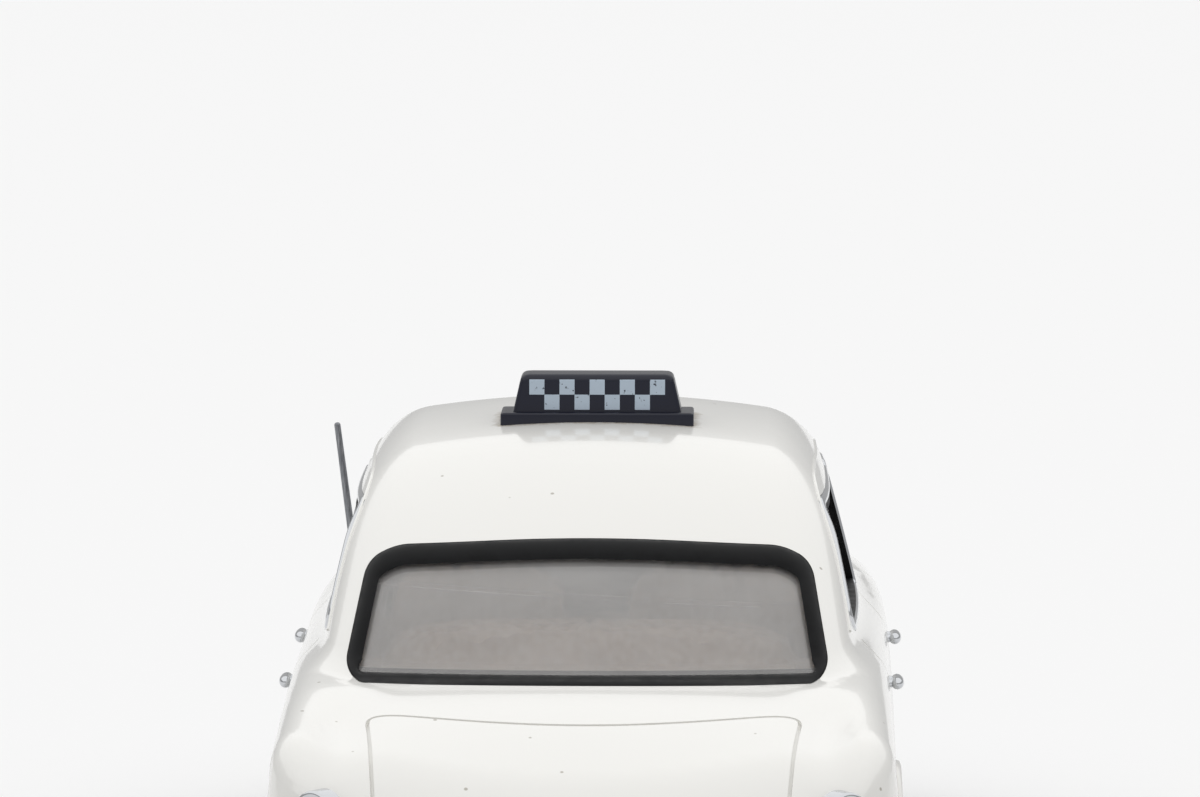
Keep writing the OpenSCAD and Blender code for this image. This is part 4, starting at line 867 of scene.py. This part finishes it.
# Handles. Four door handles and one on the boot lid: short plated bars, a little bowed, each on two stubs that are
# pushed into holes in the shell.
handle_radius, handle_bow = 0.42, 0.14
stub_radii = np.array([0.6, 0.62, 0.66, 0.72, 0.8, 0.8]) * handle_radius
bar_s = np.sin(np.linspace(-np.pi / 2, np.pi / 2, 27)) * 0.999


def handle(centre, along, out, length):
    """Bar with round ends, bowed by a parabola, and two stubs run back into the skin."""
    along, out = np.array(along, float), np.array(out, float)
    line = centre + bar_s[:, None] * along * length / 2 - (handle_bow * bar_s ** 2)[:, None] * out
    bar = rod(line, handle_radius * (1 - bar_s ** 6) ** 0.5, sides=20)
    stubs = [rod(centre + along * s * length * 0.27 - np.linspace(0, 1.1, 6)[:, None] * out, stub_radii, sides=16)
             for s in (-1, 1)]
    return joined(bar, *stubs)


for side, hand in hands:
    for which in ("front", "rear"):
        low, high = box_mm(f"door_handle_{which}_{hand}")
        middle = (low + high) / 2
        middle[0] = side * (np.max(np.abs([low[0], high[0]])) - handle_radius)
        plated(f"door_pull_{which}_{hand}", handle(middle, [0, 1, 0], [side, 0, 0], high[1] - low[1]),
               f"door_handle_{which}_{hand}")
low, high = box_mm("boot_handle")
middle = np.array([0, low[1] + handle_radius, (low[2] + high[2]) / 2])
plated("boot_pull", handle(middle, [1, 0, 0], [0, REAR, 0], high[0] - low[0]), "boot_handle")

# Aerial. A stiff grey wire on the left front wing, leaning outwards a little and rounded at its tip, in a domed foot.
low, high = box_mm("aerial")
foot = np.array([high[0] - 0.24, (low[1] + high[1]) / 2, low[2]])
tip = np.array([low[0] + 0.26, (low[1] + high[1]) / 2, high[2] - 0.55])
share = np.concatenate([np.linspace(0, 0.975, 14), 0.98 + 0.02 * np.sin(np.linspace(0, np.pi / 2, 6))])
wire_radius, wire_taper = 0.28, 0.05
wire = wire_radius - wire_taper * share
wire[14:] *= np.cos(np.linspace(0, 1.45, 6))
dull_steel, tree, place = material("dull_steel", "#85878c", 0.42, 0.75)
drawn = add(tree, "Mapping", {"Scale": (1.0, 1.0, 0.08)}, Vector=place)
mottled((dull_steel, tree, drawn), 0.1, ((0.3, "#6d6f74"), (0.75, "#9fa1a5")), Detail=2.0)
piece("aerial_wire", rod(foot + (tip - foot) * share[:, None], wire, sides=16), "body", "aerial_rod", dull_steel,
      "aerial")
low, high = box_mm("aerial_base")
collar_height = 0.8
collar = [[0.5, -1.2], [0.5, -0.1], [0.8, -0.1], [0.8, 0.12], [0.76, 0.2], [0.6, 0.36], [0.46, 0.62], [0.4, 0.78],
          [0.2, collar_height]]
foot = [(low[0] + high[0]) / 2, (low[1] + high[1]) / 2, high[2] - collar_height]
plated("aerial_foot", tube(lathe(collar, foot, [0, 0, 1], 40)), "aerial_base")

# Base plate. A flat plate pressed from steel and painted dull black, screwed up to two posts in the shell, with four
# lugs that carry the axles; the screws and axles are bright steel.


def finished(finish, *nodes):
    """Gives CAD nodes that stay in view their material."""
    for node in nodes:
        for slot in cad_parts[node].material_slots:
            slot.material = finish


finished(mottled(material("dull_black_paint", "#1d1e20", 0.55), 1.5, ((0.3, "#17181a"), (0.75, "#2e2f31")),
                 (0.2, 0.06), Detail=6.0, Roughness=0.7), "base_plate")
finished(mottled(material("bright_steel", "#a9abad", 0.28, 1.0), 0.4, ((0.3, "#8d8f92"), (0.8, "#c4c6c8")),
                 Detail=4.0), "base_screws", "front_axle", "rear_axle")

# Wheels. Grey plastic wheels pressed on the ends of the axles, each with a dished face, a plated cap and a soft black
# tyre; the tyre has a ribbed tread with notched shoulders and a raised line on its side wall.
wheel_grey = mottled(material("grey_styrene", "#c3c5c6", 0.35), 1.1, ((0.3, "#b3b5b6"), (0.8, "#d0d2d3")), Detail=4.0)
tyre_black = mottled(material("tyre_rubber", "#161617", 0.62), 0.8, ((0.35, "#111112"), (0.8, "#2c2b2a")), (0.2, 0.05),
                     Detail=6.0, Roughness=0.75)
rim_profile = [[0.1, -3.05], [1.75, -3.05], [1.75, -1.8], [4.78, -1.8], [4.78, 1.5], [4.7, 1.72], [4.5, 1.8],
               [4.3, 1.76], [4.16, 1.6], [4.06, 1.1], [3.95, 1.0], [0.1, 1.0]]
cap_profile = [[3.58, 1.0], [3.58, 1.1], [3.5, 1.22], [3.2, 1.38], [2.7, 1.52], [2.45, 1.55], [2.35, 1.5],
               [2.25, 1.52], [2.0, 1.66], [1.5, 1.8], [0.9, 1.88], [0.05, 1.9]]
round_off, shoulder_radius = np.radians(np.linspace(0, 90, 7)), 0.85
shoulder = [6.35, 1.25] + shoulder_radius * on_circle(round_off)[:, ::-1]
side_wall = np.array([[4.84, 1.62], [5.0, 1.92], [5.3, 2.06], [5.42, 2.1], [5.5, 2.13], [5.6, 2.1], [6.0, 2.1]])
tread = []
for mid in (0.84, 0.42, 0.0):
    tread += [[7.2, mid + 0.16], [6.98, mid + 0.09], [6.98, mid - 0.09], [7.2, mid - 0.16]]
half_tyre = np.concatenate([side_wall, shoulder, tread[:10]])
tyre_profile = np.concatenate([half_tyre, half_tyre[::-1] * [1, -1]])
tyre_sides, notch_every, notch_share = 160, 4, 0.03
notched = np.exp(-((tyre_profile[:, 0] - 6.95) / 0.2) ** 2) * (np.abs(tyre_profile[:, 1]) > 1.2)
notch = notch_share * notched[:, None] * (np.arange(tyre_sides) % notch_every == 0)
for which, body in (("front", "front_wheels"), ("rear", "rear_wheels")):
    for side, hand in hands:
        hub = sum(box_mm(f"tyre_{which}_{hand}")) / 2
        axis = [side, 0, 0]
        piece(f"wheel_rim_{which}_{hand}", tube(lathe(rim_profile, hub, axis, 72)), body, "wheel_plastic", wheel_grey,
              f"wheel_{which}_{hand}")
        piece(f"wheel_cap_{which}_{hand}", tube(lathe(cap_profile, hub, axis, 72)), body, "plated_plastic", chrome,
              f"hub_cap_{which}_{hand}")
        rings = lathe(tyre_profile, hub, axis, tyre_sides)
        rings = rings - (rings - hub) * [0, 1, 1] * notch[..., None]
        piece(f"tyre_{which}_{hand}_soft", tube(rings, closed=True), body, "tyre_rubber", tyre_black,
              f"tyre_{which}_{hand}")

# Interior. One tan plastic moulding drops in from below: a floor and side walls, two front seats, a rear bench and a
# parcel shelf, with pleats moulded in the seats; the grey facia and the black steering wheel clip to its front.
tub_low, tub_high = box_mm("interior_tub")
tub_half, tub_front, tub_floor = tub_high[0], tub_high[1], tub_low[2]
tub_rear, tub_top = -22.55, belt_height - 0.7
wall, shelf_half = 0.9, 13.6
seat_x = tub_half / 2 - 0.3


def seat_pad(centre, size, lean=0.0, pleat=0.0):
    """Cushion: a superellipsoid of power 5 with upright pleats, a cosine across its width, leaned back by an angle."""
    a, b = np.meshgrid(round_turn(72), np.linspace(-np.pi / 2, np.pi / 2, 41), indexing="xy")
    ball = points_at(np.cos(b) * np.cos(a), np.cos(b) * np.sin(a), np.sin(b))
    ball /= (np.abs(ball) ** 5).sum(-1, keepdims=True) ** 0.2
    shape = ball * np.array(size) / 2
    groove_in = pleat * np.abs(np.cos(np.pi * shape[..., 0] / 1.5)) ** 8
    shape = shape - groove_in[..., None] * np.sign(shape) * [0, 1, 1] * np.minimum(np.abs(shape), 1)
    poles = shape[[0, -1]].mean(1, keepdims=True)
    shape[[0, -1]] = poles + (shape[[0, -1]] - poles) * 0.01
    c, s = np.cos(lean), np.sin(lean)
    return tube(shape @ np.array([[1, 0, 0], [0, c, s], [0, -s, c]]) + np.array(centre))


def slab(low, high):
    """Plain wall or floor with softened edges: a superellipse of power 12, run from low to high."""
    low, high = np.array(low, float), np.array(high, float)
    flat = on_circle(round_turn(48))
    flat /= (np.abs(flat) ** 12).sum(-1, keepdims=True) ** (1 / 12)
    ring = np.insert((low + high)[:2] / 2 + flat * (high - low)[:2] / 2, 2, low[2], axis=1)
    return prism(ring, [0, 0, (high - low)[2]])


inside = [slab([-tub_half, tub_rear, tub_floor], [tub_half, tub_front, tub_floor + wall]),
          slab([-tub_half, tub_rear, tub_floor], [tub_half, tub_rear + wall, tub_top]),
          slab([-tub_half, tub_front - wall, tub_floor], [tub_half, tub_front, tub_top - 3.6]),
          slab([-shelf_half, -rear_window_base + 4.4, tub_top - 1.1], [shelf_half, tub_rear + 1.6, tub_top - 0.2]),
          seat_pad([0, tub_rear + 6.6, tub_floor + 5.0], [2 * tub_half - 2.4, 9.0, 9.0], 0, 0.35),
          seat_pad([0, tub_rear + 1.9, tub_floor + 10.8], [2 * tub_half - 5.6, 3.0, 14.0], np.radians(14), 0.3),
          seat_pad([0, (tub_front + tub_rear) / 2, tub_floor + 1.4], [4.0, tub_front - tub_rear - 4, 2.6])]
for side in (LEFT, RIGHT):
    inner, outer = sorted([side * (tub_half - wall), side * tub_half])
    inside += [slab([inner, tub_rear, tub_floor], [outer, tub_front - 3.2, tub_top]),
               seat_pad([side * seat_x, door_pillar_y + 3.2, tub_floor + 5.2], [12.0, 9.6, 9.4], 0, 0.35),
               seat_pad([side * seat_x, door_pillar_y - 1.6, tub_floor + 11.5], [12.0, 3.0, 13.5], np.radians(12),
                        0.3)]
tan = mottled(material("tan_styrene", "#c9ae94", 0.5), 0.5, ((0.3, "#bb9e82"), (0.75, "#d8c0a8")), (0.25, 0.05),
              Detail=5.0)
piece("interior_moulding", joined(*inside), "body", "interior_plastic", tan, "interior_tub")
finished(mottled(material("grey_facia_styrene", "#54565a", 0.45), 0.3, ((0.3, "#494b4f"), (0.8, "#64666a")),
                 Detail=3.0), "dashboard")
finished(gloss_black, "steering_wheel")

# Studio. A wide sheet of matt white paper under the toy and a wide soft ceiling lamp over it, with dimmer walls round
# them, as in a light tent. The sheet is grey to the lamp, so that it keeps the toy's shadow without dazzling its
# sides, and near white to the camera; the camera stands well back behind the car and a little above it.
paper_radius, paper_grey, paper_seen = 30000.0, "#cfcfcf", "#f6f6f6"
rim = np.radians(np.arange(0, 360, 3.75))
sheet = points_at(np.cos(rim), np.sin(rim), 0) * paper_radius
paper = placed("studio_paper", mesh_of("studio_paper", (sheet, [list(range(len(rim)))])))
paper_white, tree, place = material("matt_paper", paper_grey, 0.9)
ray = add(tree, "LightPath").node.outputs
seen = ray["Is Camera Ray"]
for kind in ("Is Glossy Ray", "Is Transmission Ray"):
    seen = add(tree, "Math.MAXIMUM", in0=seen, in1=ray[kind])
add(tree, "Mix", {"data_type": "RGBA", 6: srgb(paper_grey), 7: srgb(paper_seen)}, "Base Color", in0=seen)
paper.data.materials.append(paper_white)

ceiling_size, ceiling_height, ceiling_watts, tent_strength = 40000.0, 10000.0, 3450.0, 0.45
lamp = bpy.data.lights.new("soft_ceiling", "AREA")
lamp.size, lamp.energy = ceiling_size * MM, ceiling_watts
placed("soft_ceiling", lamp).location = (0, 0, ceiling_height * MM)
world = bpy.data.worlds.new("tent")
world.use_nodes = True
world.node_tree.nodes["Background"].inputs["Color"].default_value = srgb("#ffffff")
world.node_tree.nodes["Background"].inputs["Strength"].default_value = tent_strength
bpy.context.scene.world = world

lens = bpy.data.cameras.new("camera")
lens.sensor_width, lens.lens = 36.0, 202.5
lens.clip_start, lens.clip_end = 0.01, 60.0
camera = placed("camera", lens)
camera.location = np.array([9.2, -465.0, 85.2]) * MM
camera.rotation_euler = np.radians([90 - 6.0, 0, 1.1])
bpy.context.scene.camera = camera
bpy.context.scene.view_settings.view_transform = "Standard"
